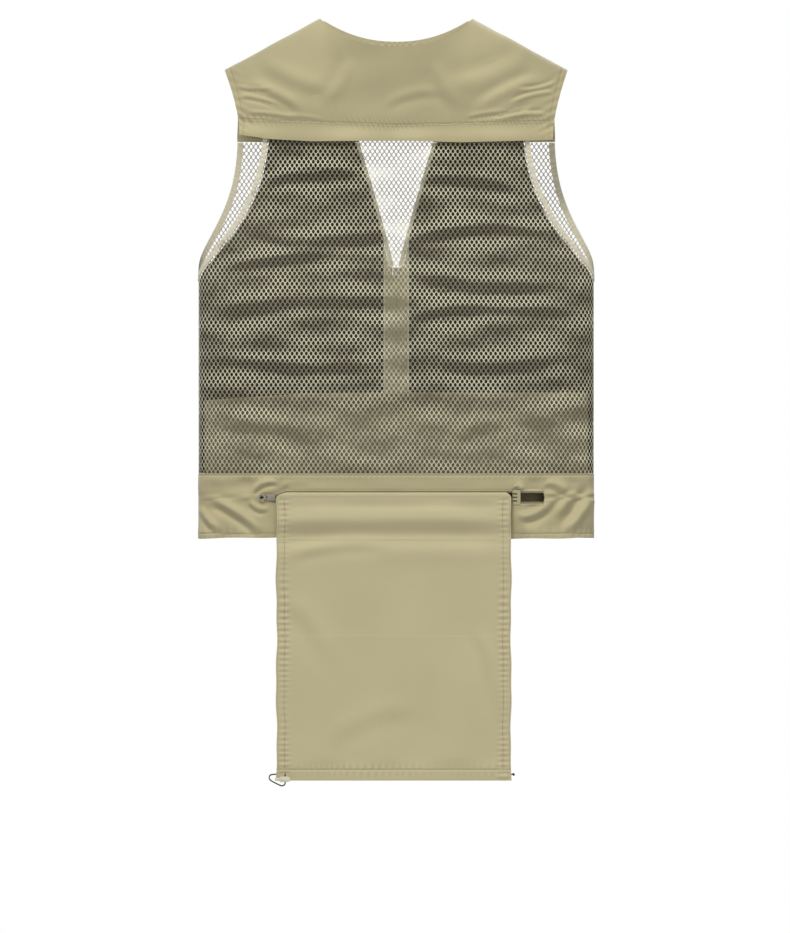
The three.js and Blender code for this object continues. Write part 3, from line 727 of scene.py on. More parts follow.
NYLON = ClothFinish("khaki nylon", (0.475, 0.42, 0.241), fold_shade=0.42)
FLAP_NYLON = ClothFinish("khaki panel nylon", (0.55, 0.487, 0.29), patchiness=0.05)
# The lining's near-black colour is painted shade: a dark sheet that stands for the shade inside
# the vest, seen through the net's holes.
SHADE_LINING = ClothFinish("dark khaki lining", (0.05, 0.041, 0.024), patchiness=0.35, sheen=0.05)
BAG_NYLON = ClothFinish("khaki bag nylon", (0.21, 0.178, 0.098), patchiness=0.3, sheen=0.1)
NET = ClothFinish(
    "khaki net", (0.6, 0.55, 0.38), threads=4000, relief=0.1, roughness=0.5, patchiness=0.12,
    seam_light=0.0, fold_shade=0.95, gloss=0.5
)
BINDING = ClothFinish(
    "light binding", (0.74, 0.69, 0.52), threads=1500, relief=0.4, patchiness=0.05
)
TAPE = ClothFinish("zip tape", (0.41, 0.36, 0.215), threads=1300, relief=0.5)
COIL = HardFinish("zip coil", (0.45, 0.4, 0.25), roughness=0.45)
THREAD = ClothFinish("khaki thread", (0.25, 0.21, 0.115), threads=5000, relief=0.1, seam_light=0.0)
STRIPE = ClothFinish("dark stripe thread", (0.055, 0.042, 0.025), threads=3000, seam_light=0.0)
CORD = ClothFinish("braided cord", (0.05, 0.045, 0.035), threads=900, relief=0.6, seam_light=0.0)
PLATED = HardFinish("plated metal", (0.6, 0.57, 0.47), metallic=0.9, roughness=0.36)
TOGGLE = HardFinish("moulded toggle", (0.74, 0.71, 0.53), roughness=0.42)
SPRING = HardFinish("spring wire", (0.5, 0.5, 0.5), metallic=1.0, roughness=0.28)


# ------------------------------------------------------------------ meshes


def mesh_piece(
    name: str,
    points: Array,
    faces: Sequence[Sequence[int]] | Array,
    bake: Array,
    cloth: Array,
    normals: Array | None,
    material: bpy.types.Material,
    seam: Array | None = None,
    fold: Array | None = None,
) -> bpy.types.Object:
    """Makes one mesh object.

    Args:
        name: the piece's name.
        points: its vertices.
        faces: indices of each face's corners.
        bake: each vertex's place in the unit square.
        cloth: each vertex's place on the flat cloth, in metres.
        normals: shading normal of each vertex, or None to leave it to Blender.
        material: what it is made of.
        seam: how near each vertex is to a sewn edge, from 0 to 1.
        fold: painted light and shade at each vertex, from 0, painted shade in a valley, to 1,
            painted light on a crest.

    Returns:
        The object, linked to the scene.
    """
    mesh = bpy.data.meshes.new(name)
    mesh.from_pydata(
        points.tolist(), [], faces.tolist() if isinstance(faces, np.ndarray) else faces
    )
    corners = np.empty(len(mesh.loops), np.int32)
    mesh.loops.foreach_get("vertex_index", corners)
    for label, places in ((BAKE_UV, bake), (CLOTH_UV, cloth)):
        layer = mesh.uv_layers.new(name=label)
        layer.data.foreach_set("uv", places[corners].astype(np.float32).ravel())
    mask = mesh.attributes.new(SEAM_MASK, "FLOAT", "POINT")
    mask.data.foreach_set(
        "value", (np.zeros(len(points)) if seam is None else seam).astype(np.float32)
    )
    faded = mesh.attributes.new(FOLD_LIGHT_SHADE_MASK, "FLOAT", "POINT")
    faded.data.foreach_set(
        "value", (np.full(len(points), 0.5) if fold is None else fold).astype(np.float32)
    )
    mesh.polygons.foreach_set("use_smooth", np.ones(len(mesh.polygons), bool))
    mesh.materials.append(material)
    mesh.update()
    if normals is not None:
        mesh.normals_split_custom_set_from_vertices(normals.tolist())
    piece = bpy.data.objects.new(name, mesh)
    bpy.context.scene.collection.objects.link(piece)
    return piece


@dataclass
class Cloth:
    """A sheet of cloth over a grid, given by the surface of its middle.

    Attributes:
        name: the piece's name.
        surface: gives points for places a and b.
        a: grid lines across.
        b: grid lines up.
        outward: roughly which way its outer face looks.
        finish: what it is made of.
        thickness: of the cloth, or a function of a and b.
        cloth_size: width and length of the whole cut, for its weave.
        edges: how wide the worn band along its edges is.
        sewn_on: whether the same cloth goes on past the first and last line of b.
        painted_fold_light: how strongly crests that face up are painted lighter and folds darker.
    """

    name: str
    surface: Surface
    a: Array
    b: Array
    outward: tuple[float, float, float]
    finish: ClothFinish
    thickness: float | Callable[[Array, Array], Array] = 0.7 * MM
    edges: float = 4 * MM
    sewn_on: tuple[bool, bool] = (False, False)
    painted_fold_light: float = 2.2

    def build(self) -> bpy.types.Object:
        """Makes the sheet as one closed mesh, smooth across neighbouring sheets.

        Returns:
            The sheet.
        """
        a, b = np.meshgrid(self.a, self.b, indexing="ij")
        middle = self.surface(a, b)
        step_a = (self.a[-1] - self.a[0]) * 1e-4
        step_b = (self.b[-1] - self.b[0]) * 1e-4
        run_a = self.surface(a + step_a, b) - self.surface(a - step_a, b)
        run_b = self.surface(a, b + step_b) - self.surface(a, b - step_b)
        normal = unit(np.cross(run_a, run_b))
        flip = float((normal @ np.array(self.outward)).mean()) < 0
        normal = -normal if flip else normal
        thick = self.thickness(a, b) if callable(self.thickness) else self.thickness
        half = np.broadcast_to(np.asarray(thick) / 2, a.shape)[..., None]
        outer, inner = middle + normal * half, middle - normal * half
        across = np.concatenate(
            [[0], np.cumsum(np.linalg.norm(np.diff(middle, axis=0), axis=-1).mean(1))]
        )
        up = np.concatenate(
            [[0], np.cumsum(np.linalg.norm(np.diff(middle, axis=1), axis=-1).mean(0))]
        )
        self.size = (float(across[-1]), float(up[-1]))
        flat = np.stack(np.meshgrid(across, up, indexing="ij"), axis=-1)
        bake = flat / flat.reshape(-1, 2).max(0)
        far = np.full(flat.shape[:2], 1.0)
        first, last = (
            far
            if on else gap
            for on, gap in zip(self.sewn_on, (flat[..., 1], up[-1] - flat[..., 1]))
        )
        near = np.minimum.reduce([flat[..., 0], across[-1] - flat[..., 0], first, last])
        seam = 1 - smooth(near / self.edges)
        # Painted light and shade: lighter where the cloth faces up more than its broad trend,
        # darker where it faces down.
        fold = np.clip(0.5 + self.painted_fold_light * (normal[..., 2] - self._broad(normal[..., 2])), 0, 1)
        return mesh_piece(
            self.name,
            np.concatenate([outer.reshape(-1, 3), inner.reshape(-1, 3)]),
            self._faces(a.shape, flip),
            np.tile(bake.reshape(-1, 2), (2, 1)),
            np.tile(flat.reshape(-1, 2), (2, 1)),
            np.concatenate([normal.reshape(-1, 3), -normal.reshape(-1, 3)]),
            self.finish.material(),
            np.tile(seam.ravel(), 2),
            np.tile(fold.ravel(), 2),
        )

    @staticmethod
    def _broad(values: Array) -> Array:
        """The broad trend over the grid, without its folds.

        Args:
            values: one for each place of the grid.

        Returns:
            The smoothed values.
        """
        for axis in (0, 1):
            reach = max(values.shape[axis] // 5, 1)
            padded = np.pad(
                values, [(reach, reach) if k == axis else (0, 0) for k in (0, 1)], mode="edge"
            )
            total = np.cumsum(padded, axis=axis)
            ahead = np.take(total, range(2 * reach, total.shape[axis]), axis=axis)
            behind = np.take(total, range(0, total.shape[axis] - 2 * reach), axis=axis)
            values = (ahead - behind) / (2 * reach)
        return values

    @staticmethod
    def _faces(shape: tuple[int, int], flip: bool) -> Array:
        """Faces of both sides of the sheet and the rim that joins them.

        Args:
            shape: rows and columns of the grid.
            flip: whether the grid is wound the other way.

        Returns:
            Four corners for each face.
        """
        rows, columns = shape
        number = np.arange(rows * columns).reshape(shape)
        quads = np.stack(
            [number[:-1, :-1], number[1:, :-1], number[1:, 1:], number[:-1, 1:]], axis=-1
        ).reshape(-1, 4)
        loop = np.concatenate(
            [number[:-1, 0], number[-1, :-1], number[:0:-1, -1], number[0, :0:-1]]
        )
        following = np.roll(loop, -1)
        total = rows * columns
        rim = np.stack([following, loop, loop + total, following + total], axis=-1)
        faces = np.concatenate([quads, quads[:, ::-1] + total, rim])
        return faces[:, ::-1] if flip else faces


@dataclass
class SmallShapes:
    """Collects many small shapes into one mesh."""

    points: list[Array]
    faces: list[Array]

    @classmethod
    def empty(cls) -> SmallShapes:
        """A collection with nothing in it."""
        return cls([], [])

    def add(self, points: Array, faces: Array) -> None:
        """Adds shapes that all have the same faces.

        Args:
            points: one row of corners for each shape.
            faces: corners of each face of one shape.
        """
        count = sum(len(p) for p in self.points)
        shapes, corners = points.shape[:2]
        offsets = count + np.arange(shapes)[:, None, None] * corners
        self.points.append(points.reshape(-1, 3))
        self.faces.append((faces[None] + offsets).reshape(-1, faces.shape[1]))

    def build(self, name: str, finish: ClothFinish | HardFinish) -> bpy.types.Object:
        """Makes the collection one object.

        Args:
            name: the object's name.
            finish: what it is made of.

        Returns:
            The object.
        """
        points = np.concatenate(self.points)
        low, size = points.min(0), np.maximum(np.ptp(points, axis=0), 1e-6)
        flat = (points - low)[:, [0, 2]]
        bake = flat / size[[0, 2]]
        faces = [face for block in self.faces for face in block.tolist()]
        return mesh_piece(name, points, faces, bake, flat, None, finish.material())


STITCH_FACES = np.array(
    [
        [0, 1, 3, 2], [2, 3, 5, 4], [4, 5, 1, 0], [6, 0, 2, 2], [6, 2, 4, 4], [6, 4, 0, 0],
        [7, 3, 1, 1], [7, 5, 3, 3], [7, 1, 5, 5]
    ]
)


def stitch_row(
    into: SmallShapes, line: Array, normal: Array, length: float = 2.1 * MM, gap: float = 1.0 * MM
) -> None:
    """Lays stitches along a line on the cloth.

    Args:
        into: collects the stitches.
        line: points along the row.
        normal: the cloth's outward normal at each point.
        length: of one stitch.
        gap: from one stitch to the next.
    """
    steps = np.linalg.norm(np.diff(line, axis=0), axis=1)
    run = np.concatenate([[0], np.cumsum(steps)])
    starts = np.arange(gap, run[-1] - length, length + gap)
    if len(starts) == 0:
        return

    def at(place: Array, values: Array) -> Array:
        """Values at places along the row."""
        return np.stack([np.interp(place, run, values[:, k]) for k in range(3)], axis=-1)

    up = unit(at(starts + length / 2, normal))
    head, tail = at(starts, line), at(starts + length, line)
    along = unit(tail - head)
    side = np.cross(along, up)
    corners = []
    for end, shift in ((head, 0.35), (tail, -0.35)):
        base = end + along * shift * MM
        ring = [base + side * 0.26 * MM, base + up * 0.3 * MM, base - side * 0.26 * MM]
        corners.append([p - up * 0.02 * MM for p in ring])
    (a0, a1, a2), (b0, b1, b2) = corners
    stitches = np.stack([a0, b0, a1, b1, a2, b2, head, tail], axis=1)
    into.add(stitches, STITCH_FACES[:, :3])
    into.add(stitches, STITCH_FACES[:3][:, [0, 2, 3]])


def line_on(
    surface: Surface, a: Array, b: Array, outward: tuple[float, float, float], lift: float
) -> tuple[Array, Array]:
    """Draws a line on a surface, lifted to the cloth's outer face.

    Args:
        surface: the cloth's middle.
        a: places across.
        b: places up.
        outward: roughly which way the outer face looks.
        lift: height above the middle.

    Returns:
        Points and normals.
    """
    eps = 1e-5
    normal = unit(
        np.cross(
            surface(a + eps, b) - surface(a - eps, b), surface(a, b + eps) - surface(a, b - eps)
        )
    )
    if float((normal @ np.array(outward)).mean()) < 0:
        normal = -normal
    return surface(a, b) + normal * lift, normal


# ------------------------------------------------------------------ knitted net


def unshaded(girth: Array, z: Array) -> Array:
    """No shade at any place."""
    return np.zeros(np.shape(girth))


@dataclass
class Net:
    """Knitted net with rows of staggered oval holes.

    Attributes:
        name: the piece's name.
        surface: gives points for girths and heights.
        inner: least girth at a height.
        outer: greatest girth at a height.
        low, high: heights of its lower and upper edge.
        outward: roughly which way its outer face looks.
        pitch: from one hole to the next in a row.
        rise: from one row to the next.
        hole_half_width, hole_half_height: of one hole.
        strand: how far a strand stands up.
        shade: painted light and shade added to the net's painted fold shading.
    """

    name: str
    surface: Surface
    inner: Callable[[Array], Array]
    outer: Callable[[Array], Array]
    low: float
    high: float
    outward: tuple[float, float, float]
    pitch: float = 6.4 * MM
    rise: float = 4.75 * MM
    hole_half_width: float = 2.1 * MM
    hole_half_height: float = 2.8 * MM
    strand: float = 0.4 * MM
    shade: Callable[[Array, Array], Array] = unshaded

    def build(self) -> tuple[bpy.types.Object, float]:
        """Makes the net.

        Returns:
            The object and the area of its threads, laid flat.
        """
        centres = self._centres()
        turn = np.arange(12) * math.pi / 6
        hole = np.stack(
            [self.hole_half_width * np.cos(turn), self.hole_half_height * np.sin(turn)], axis=-1
        )
        edge = self._cell_edge(turn)
        ring = np.stack([edge, hole], axis=0)
        places = centres[:, None, None, :] + ring[None]
        places = self._kept_inside(places.reshape(-1, 2)).reshape(places.shape)
        number = np.arange(12)
        following = (number + 1) % 12
        cell = np.stack([number, number + 12, following + 12, following], axis=-1)
        faces = (cell[None] + np.arange(len(centres))[:, None, None] * 24).reshape(-1, 4)
        flat = places.reshape(-1, 2)
        points, normal = self._raised(flat)
        spread = (
            points[faces[:, 2]] - points[faces[:, 0]], points[faces[:, 3]]
            - points[faces[:, 1]]
        )
        real = np.linalg.norm(np.cross(*spread), axis=-1) > 2e-9
        faces, spread = faces[real], (spread[0][real], spread[1][real])
        if float((np.cross(*spread) * normal[faces[:, 0]]).sum()) < 0:
            faces = faces[:, ::-1]
        inward = np.zeros((len(centres), 2, 12, 2))
        inward[:, 1] = -hole / np.linalg.norm(hole, axis=-1, keepdims=True)
        tilt = self._tilted(flat, normal, inward.reshape(-1, 2))
        ridge = np.tile(np.repeat([1.0, 0.0], 12), len(centres))
        points = points + normal * (ridge * self.strand - self.strand / 2)[:, None]
        low, size = flat.min(0), np.ptp(flat, axis=0)
        # Painted light and shade: threads lighter where the net faces up, darker where it faces
        # down, plus the shade function.
        fold = np.clip(0.47 + 1.9 * normal[:, 2] + self.shade(flat[:, 0], flat[:, 1]), 0, 1)
        piece = mesh_piece(
            self.name, points, faces, (flat - low) / size, flat - low, tilt, NET.material(), None,
            fold
        )
        area = float(self._flat_area(flat, faces))
        self.size = (float(size[0]), float(size[1]))
        return piece, area

    @staticmethod
    def _flat_area(flat: Array, faces: Array) -> float:
        """Area of the threads on the flat cloth."""
        a, b = flat[faces[:, 2]] - flat[faces[:, 0]], flat[faces[:, 3]] - flat[faces[:, 1]]
        return float(np.abs(a[:, 0] * b[:, 1] - a[:, 1] * b[:, 0]).sum() / 2)

    def _cell_edge(self, turn: Array) -> Array:
        """The edge of one cell, seen from its middle.

        Args:
            turn: angles to look at.

        Returns:
            A place for each angle.
        """
        near = [(self.pitch, 0.0), (-self.pitch, 0.0)]
        near += [(sx * self.pitch / 2, sz * self.rise) for sx in (-1, 1) for sz in (-1, 1)]
        near += [(0.0, 2 * self.rise), (0.0, -2 * self.rise)]
        look = np.stack([np.cos(turn), np.sin(turn)], axis=-1)
        reach = np.full(len(turn), 1.0)
        for place in near:
            gap = np.array(place)
            facing = look @ gap
            reach = np.where(
                facing > 1e-9, np.minimum(reach, (gap @ gap) / 2 / np.maximum(facing, 1e-9)), reach
            )
        return look * reach[:, None]

    def _centres(self) -> Array:
        """Middles of the holes that lie on the panel.

        Returns:
            Girth and height of each.
        """
        margin = 1.2 * MM
        count = math.ceil((self.high - self.low - 2 * margin) / self.rise)
        rows = np.linspace(self.low + margin, self.high - margin, count + 1)
        found = []
        for row, z in enumerate(rows):
            start, end = float(self.inner(np.array(z))), float(self.outer(np.array(z)))
            shift = (row % 2) * self.pitch / 2
            first = math.ceil((start - shift) / self.pitch) * self.pitch + shift
            across = np.arange(first, end + self.pitch / 4, self.pitch)
            found.append(np.stack([across, np.full(len(across), z)], axis=-1))
        return np.concatenate(found)

    def _kept_inside(self, places: Array) -> Array:
        """Holds places to the panel's own edges.

        Args:
            places: girths and heights.

        Returns:
            The held places.
        """
        z = np.clip(places[:, 1], self.low, self.high)
        girth = np.clip(places[:, 0], self.inner(z), self.outer(z))
        return np.stack([girth, z], axis=-1)

    def _raised(self, flat: Array) -> tuple[Array, Array]:
        """Raises flat places to the panel.

        Args:
            flat: girths and heights.

        Returns:
            Points and normals.
        """
        eps = 1e-5
        girth, z = flat[:, 0], flat[:, 1]
        side_run = self.surface(girth + eps, z) - self.surface(girth - eps, z)
        normal = unit(
            np.cross(side_run, self.surface(girth, z + eps) - self.surface(girth, z - eps))
        )
        if float((normal @ np.array(self.outward)).mean()) < 0:
            normal = -normal
        return self.surface(girth, z), normal

    def _tilted(self, flat: Array, normal: Array, inward: Array) -> Array:
        """Turns normals into the holes, so that strands look round.

        Args:
            flat: girths and heights.
            normal: the panel's normals.
            inward: direction into the hole, on the flat cloth.

        Returns:
            Shading normals.
        """
        eps = 1e-5
        girth, z = flat[:, 0], flat[:, 1]
        run_a = unit(self.surface(girth + eps, z) - self.surface(girth - eps, z))
        run_b = unit(self.surface(girth, z + eps) - self.surface(girth, z - eps))
        return unit(normal + 0.8 * (run_a * inward[:, :1] + run_b * inward[:, 1:]))


# ------------------------------------------------------------------ back of the vest


@dataclass
class Yoke:
    """The shoulder yoke of the back, with its stitched and loose lower hem."""

    cut: Cut
    lift: float = 2.1 * MM
    flare: float = 4.2 * MM
    edge_wave: tuple[tuple[float, float], ...] = (
        (-0.215, -0.1578), (-0.17, -0.164), (
            -0.1145, -0.1672
        ), (0.016, -0.1666), (0.089, -0.1686), (0.15, -0.167), (0.215, -0.1646),
    )
    stitch_wave: tuple[tuple[float, float], ...] = (
        (-0.215, -0.138), (0.0, -0.1462), (0.215, -0.1406)
    )

    creases: tuple[Crease, ...] = (
        Crease((-0.205, -0.085), (-0.12, -0.128), 7 * MM, 0.9 * MM, 0.05),
        Crease((-0.19, -0.05), (-0.07, -0.1), 11 * MM, 0.8 * MM, -0.06),
        Crease((0.2, -0.08), (0.1, -0.13), 8 * MM, 0.9 * MM, -0.05),
        Crease((0.185, -0.045), (0.06, -0.095), 12 * MM, 0.8 * MM, 0.07),
        Crease((-0.06, -0.052), (-0.1, -0.12), 9 * MM, 0.7 * MM, 0.08),
        Crease((0.05, -0.055), (0.095, -0.125), 10 * MM, 0.6 * MM, -0.08),
        Crease((-0.02, -0.12), (0.07, -0.1), 7 * MM, 0.5 * MM, 0.1),
        Crease((0.19, -0.12), (0.12, -0.142), 5 * MM, 0.8 * MM, 0.05),
        Crease((-0.215, -0.105), (-0.15, -0.122), 3.2 * MM, 0.75 * MM, 0.06),
        Crease((-0.218, -0.09), (-0.165, -0.094), 3 * MM, 0.6 * MM, -0.08),
        Crease((-0.205, -0.128), (-0.125, -0.14), 3.4 * MM, 0.75 * MM, 0.04),
        Crease((0.216, -0.1), (0.15, -0.118), 3.2 * MM, 0.85 * MM, -0.06),
        Crease((0.22, -0.084), (0.16, -0.098), 3 * MM, 0.7 * MM, 0.08),
        Crease((0.207, -0.13), (0.13, -0.139), 3.2 * MM, 0.75 * MM, -0.04),
        Crease((-0.155, -0.133), (-0.085, -0.144), 3.6 * MM, 0.6 * MM, 0.05),
        Crease((0.09, -0.136), (0.165, -0.128), 3.6 * MM, 0.6 * MM, 0.05),
    )

    def _wave(self, points: tuple[tuple[float, float], ...], x: Array) -> Array:
        """A height that varies across the back."""
        xs, zs = zip(*points)
        return np.interp(x, xs, zs)

    def surface(self, a: Array, b: Array) -> Array:
        """The yoke's middle.

        Args:
            a: from -1 to 1 across.
            b: from 0 at the loose edge to 1 at the shoulders.

        Returns:
            Points.
        """
        form = self.cut.form
        fall = np.maximum(1 - b, 0) ** 1.25
        top_x = a * form.tip_half
        in_neck = np.abs(top_x) < form.neck_half
        neck = (
            self.cut.neckline(top_x)
            - 4.2 * MM * (1 - np.minimum(np.abs(top_x) / form.neck_half, 1) ** 6)
            - 0.4 * MM
        )
        top = np.where(in_neck, neck, form.ridge(top_x))
        edge = self._wave(self.edge_wave, a * 0.211)
        z = mix(top, edge, fall)
        tip = float(form.ridge(form.tip_half))
        x = a * self.cut.yoke_half(mix(tip, self.cut.yoke_edge, fall))
        stitch = self._wave(self.stitch_wave, x)
        loose = smooth((stitch - z) / (stitch - edge))
        lift = self.lift + self.flare * loose + rumple(x, z, 70 * MM, 0.5 * MM, 3)
        lift = lift + 1.5 * creased(self.creases, x, z) * smooth((z - stitch) / (12 * MM))
        lift = lift + 1.3 * MM * loose * np.sin(x / (17 * MM) + 0.8 * np.sin(x / (41 * MM)))
        lift = lift + pucker(x + 0.5 * z, z - stitch - 1.5 * MM, 7 * MM, 0.42 * MM, 7 * MM, 11)
        side = (1 - np.abs(a)) * 0.222
        drawn = smooth((z - edge) / (20 * MM))
        lift = lift + pucker(
            z + 0.5 * side, side - 6 * MM, 12 * MM, 0.42 * MM, 15 * MM, 12
        ) * drawn
        return form.point(Side.BACK, x, z, np.maximum(lift, 1.2 * MM))

    def build(self, trims: Sequence[bpy.types.Object]) -> None:
        """Makes the yoke and its stitching.

        Args:
            trims: narrow pieces sewn to it; not used.
        """
        across = graded(-1.0, 1.0, 0.008, 0.013, 0.08)
        up = np.unique(np.concatenate([np.linspace(0, 0.22, 26), np.linspace(0.22, 1, 62)]))
        sheet = Cloth("back_yoke_cloth", self.surface, across, up, (0, -1, 0), NYLON, 0.9 * MM)
        piece = sheet.build()
        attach(piece, "vest_back")
        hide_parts("back_yoke")
        sewn = self._stitching()
        log.info("yoke %s", piece.name)

    def _stitching(self) -> bpy.types.Object:
        """Rows along the lower hem and both armhole edges.

        Returns:
            The stitches.
        """
        rows = SmallShapes.empty()
        a = np.linspace(-0.99, 0.99, 420)
        for off in (-0.9 * MM, 0.9 * MM):
            stitch = self._wave(self.stitch_wave, a * 0.211) + off
            stitch_row(rows, *self._on(a, stitch))
        for hand in Hand:
            b = np.linspace(0.01, 0.985, 220)
            edge = np.full_like(b, hand.value * (1 - 0.026))
            stitch_row(rows, *line_on(self.surface, edge, b, (0, -1, 0), 0.5 * MM))
        sewn = rows.build("back_yoke_stitching", THREAD)
        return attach(sewn, "vest_back")

    def _on(self, a: Array, z: Array) -> tuple[Array, Array]:
        """Finds a line on the yoke from its heights.

        Args:
            a: places across.
            z: heights.

        Returns:
            Points and normals.
        """
        b = np.full_like(a, 0.1)
        for _ in range(12):
            here = self.surface(a, b)[:, 2]
            rise = (self.surface(a, b + 1e-4)[:, 2] - here) / 1e-4
            b = np.clip(b + (z - here) / rise, 0.001, 0.999)
        return line_on(self.surface, a, b, (0, -1, 0), 0.5 * MM)


@dataclass
class NeckBinding:
    """The ruched binding round the back neck."""

    cut: Cut
    half: float = 96.7 * MM

    def surface(self, a: Array, b: Array) -> Array:
        """The binding's middle.

        Args:
            a: from -1 to 1 across.
            b: from 0 at its lower edge to 1 at the top.

        Returns:
            Points.
        """
        x = a * self.half
        width = 6.5 * MM * (1 - np.minimum(np.abs(x) / self.cut.form.neck_half, 1) ** 6)
        z = self.cut.neckline(x) - (1 - b) * width
        ruche = (
            0.35 * MM * np.sin(x / (1.5 * MM) + 2 * np.sin(x / (9 * MM)))
            * np.exp(-((x / (45 * MM)) ** 2))
        )
        return self.cut.form.point(Side.BACK, x, z, 2.1 * MM + ruche * np.sin(math.pi * b))

    def build(self) -> list[bpy.types.Object]:
        """Makes the binding.

        Returns:
            The binding, which trims the yoke.
        """

        def thick(a: Array, b: Array) -> Array:
            """Thickness, rounded across the binding."""
            return (1.1 + 1.5 * np.sqrt(np.maximum(1 - (2 * b - 1) ** 2, 0))) * MM

        sheet = Cloth(
            "neck_binding_cloth", self.surface, np.linspace(-1, 1, 261), np.linspace(0, 1, 9),
            (0, -1, 0.2), NYLON, thick, 1 * MM
        )
        piece = sheet.build()
        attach(piece, "vest_back")
        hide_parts("neck_binding")
        log.info("neck binding %s", piece.name)
        return [piece]


@dataclass
class ArmholeBinding:
    """Light tape bound round one edge of an armhole."""

    cut: Cut
    side: Side
    hand: Hand
    width: float

    def surface(self, a: Array, b: Array) -> Array:
        """The tape's middle.

        Args:
            a: from 0 to 1 across it.
            b: from 0 to 1 up it.

        Returns:
            Points.
        """
        girth, z = self.cut.armhole(self.side, 1 - b, self.width * (1 - a))
        ripple = 0.2 * MM * np.sin(b * 150 + 3 * np.sin(b * 31)) * np.sin(math.pi * a)
        return self.cut.form.point(
            self.side, self.hand.value * self.cut.form.x_at(girth), z, ripple
        )

    def build(self) -> list[bpy.types.Object]:
        """Makes the tape and its stitches.

        Returns:
            Both pieces, which trim a net.
        """

        def thick(a: Array, b: Array) -> Array:
            """Thickness, rounded across the tape."""
            return (0.9 + 1.5 * np.sqrt(np.maximum(1 - (2 * a - 1) ** 2, 0))) * MM

        word = "back" if self.side is Side.BACK else "front"
        node = f"{word}_armhole_binding_{self.hand.word}"
        body = "vest_back" if self.side is Side.BACK else self.hand.body
        outward = (0, self.side.value, 0)
        sheet = Cloth(
            f"{node}_tape", self.surface, np.linspace(0, 1, 9), np.linspace(0, 1, 150), outward,
            BINDING, thick, 1 * MM
        )
        piece = sheet.build()
        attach(piece, body)
        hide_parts(node)
        rows = SmallShapes.empty()
        b = np.linspace(0.01, 0.99, 200)
        stitch_row(rows, *line_on(self.surface, np.full_like(b, 0.2), b, outward, 1.0 * MM))
        sewn = rows.build(f"{node}_stitching", THREAD)
        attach(sewn, body)
        log.info("armhole binding %s", piece.name)
        return [piece, sewn]


@dataclass
class BackNet:
    """The net panel of the back."""

    cut: Cut
    creases: tuple[Crease, ...] = (
        Crease((-0.19, -0.222), (-0.03, -0.21), 9 * MM, 2.2 * MM, 0.06),
        Crease((0.02, -0.215), (0.19, -0.235), 10 * MM, 2.2 * MM, 0.05),
        Crease((-0.2, -0.292), (0.03, -0.28), 11 * MM, 2.4 * MM, -0.05),
        Crease((0.0, -0.3), (0.23, -0.29), 9 * MM, 2.4 * MM, 0.06),
        Crease((-0.25, -0.338), (0.0, -0.322), 9 * MM, 2.2 * MM, 0.05),
        Crease((0.01, -0.34), (0.25, -0.352), 11 * MM, 2.3 * MM, -0.05),
        Crease((-0.26, -0.394), (0.06, -0.385), 12 * MM, 2.4 * MM, 0.04),
        Crease((0.0, -0.405), (0.26, -0.398), 9 * MM, 2.2 * MM, 0.05),
        Crease((-0.26, -0.452), (0.02, -0.46), 10 * MM, 2.2 * MM, -0.04),
        Crease((0.03, -0.46), (0.26, -0.448), 11 * MM, 2.2 * MM, -0.05),
        Crease((-0.24, -0.545), (-0.1, -0.575), 13 * MM, 1.6 * MM, 0.1),
        Crease((0.06, -0.575), (0.22, -0.54), 13 * MM, 1.6 * MM, 0.1),
    )

    def surface(self, girth: Array, z: Array) -> Array:
        """The net's middle.

        Args:
            girth: places round the body.
            z: heights.

        Returns:
            Points.
        """
        form = self.cut.form
        x = form.x_at(np.clip(girth, -form.side_girth, form.side_girth))
        calm = (
            smooth((z - self.cut.hem_seam) / (25 * MM))
            * smooth((self.cut.yoke_edge - z) / (25 * MM))
        )
        calm = calm * smooth((form.side_girth - np.abs(girth)) / (30 * MM))
        fine = rumple(x, z, 38 * MM, 0.5 * MM, 22, 1.1)
        lift = (
            1.7 * creased(self.creases, x, z) + rumple(x, z, 85 * MM, 1.5 * MM, 21, 1.8) + fine
        ) * calm
        return form.point(Side.BACK, x, z, np.clip(lift, -4 * MM, 5 * MM))

    def shade(self, girth: Array, z: Array) -> Array:
        """Painted shadow under the loose yoke edge, broad random lighter and darker patches, and
        painted shade where the V neck is open behind.

        Args:
            girth: places round the body.
            z: heights.

        Returns:
            What is added to the net's painted fold shading.
        """
        # Painted shadow: the net is darker just under the loose yoke edge.
        yoke_edge_shadow = -0.55 * smooth((z - self.cut.yoke_edge + 12 * MM) / (9 * MM))
        blotch = (
            0.24 * rumple(girth, z, 75 * MM, 1.0, 23, 1.5)
            + 0.12 * rumple(girth, z, 20 * MM, 1.0, 24, 1.3)
        )
        # Painted shade: the net is darker where the V neck leaves it open behind.
        v_neck_shade = (
            0.3 * smooth((self.cut.v_half(z) - np.abs(girth)) / (8 * MM))
            * (z > self.cut.v_tip)
        )
        return yoke_edge_shadow + blotch - v_neck_shade

    def build(self, trims: Sequence[bpy.types.Object]) -> None:
        """Makes the net.

        Args:
            trims: narrow pieces sewn to it; not used.
        """

        def outer(z: Array) -> Array:
            """Greatest girth at a height."""
            return self.cut.armhole_girth(Side.BACK, z, 3 * MM)

        def inner(z: Array) -> Array:
            """Least girth at a height."""
            return -outer(z)

        net = Net(
            "back_net", self.surface, inner, outer, self.cut.hem_seam + 0.3 * MM,
            self.cut.yoke_stitch - 0.4 * MM, (0, -1, 0), shade=self.shade
        )
        piece, area = net.build()
        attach(piece, "vest_back")
        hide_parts("back_net_panel")
        log.info("back net %s, %d faces", piece.name, len(piece.data.polygons))


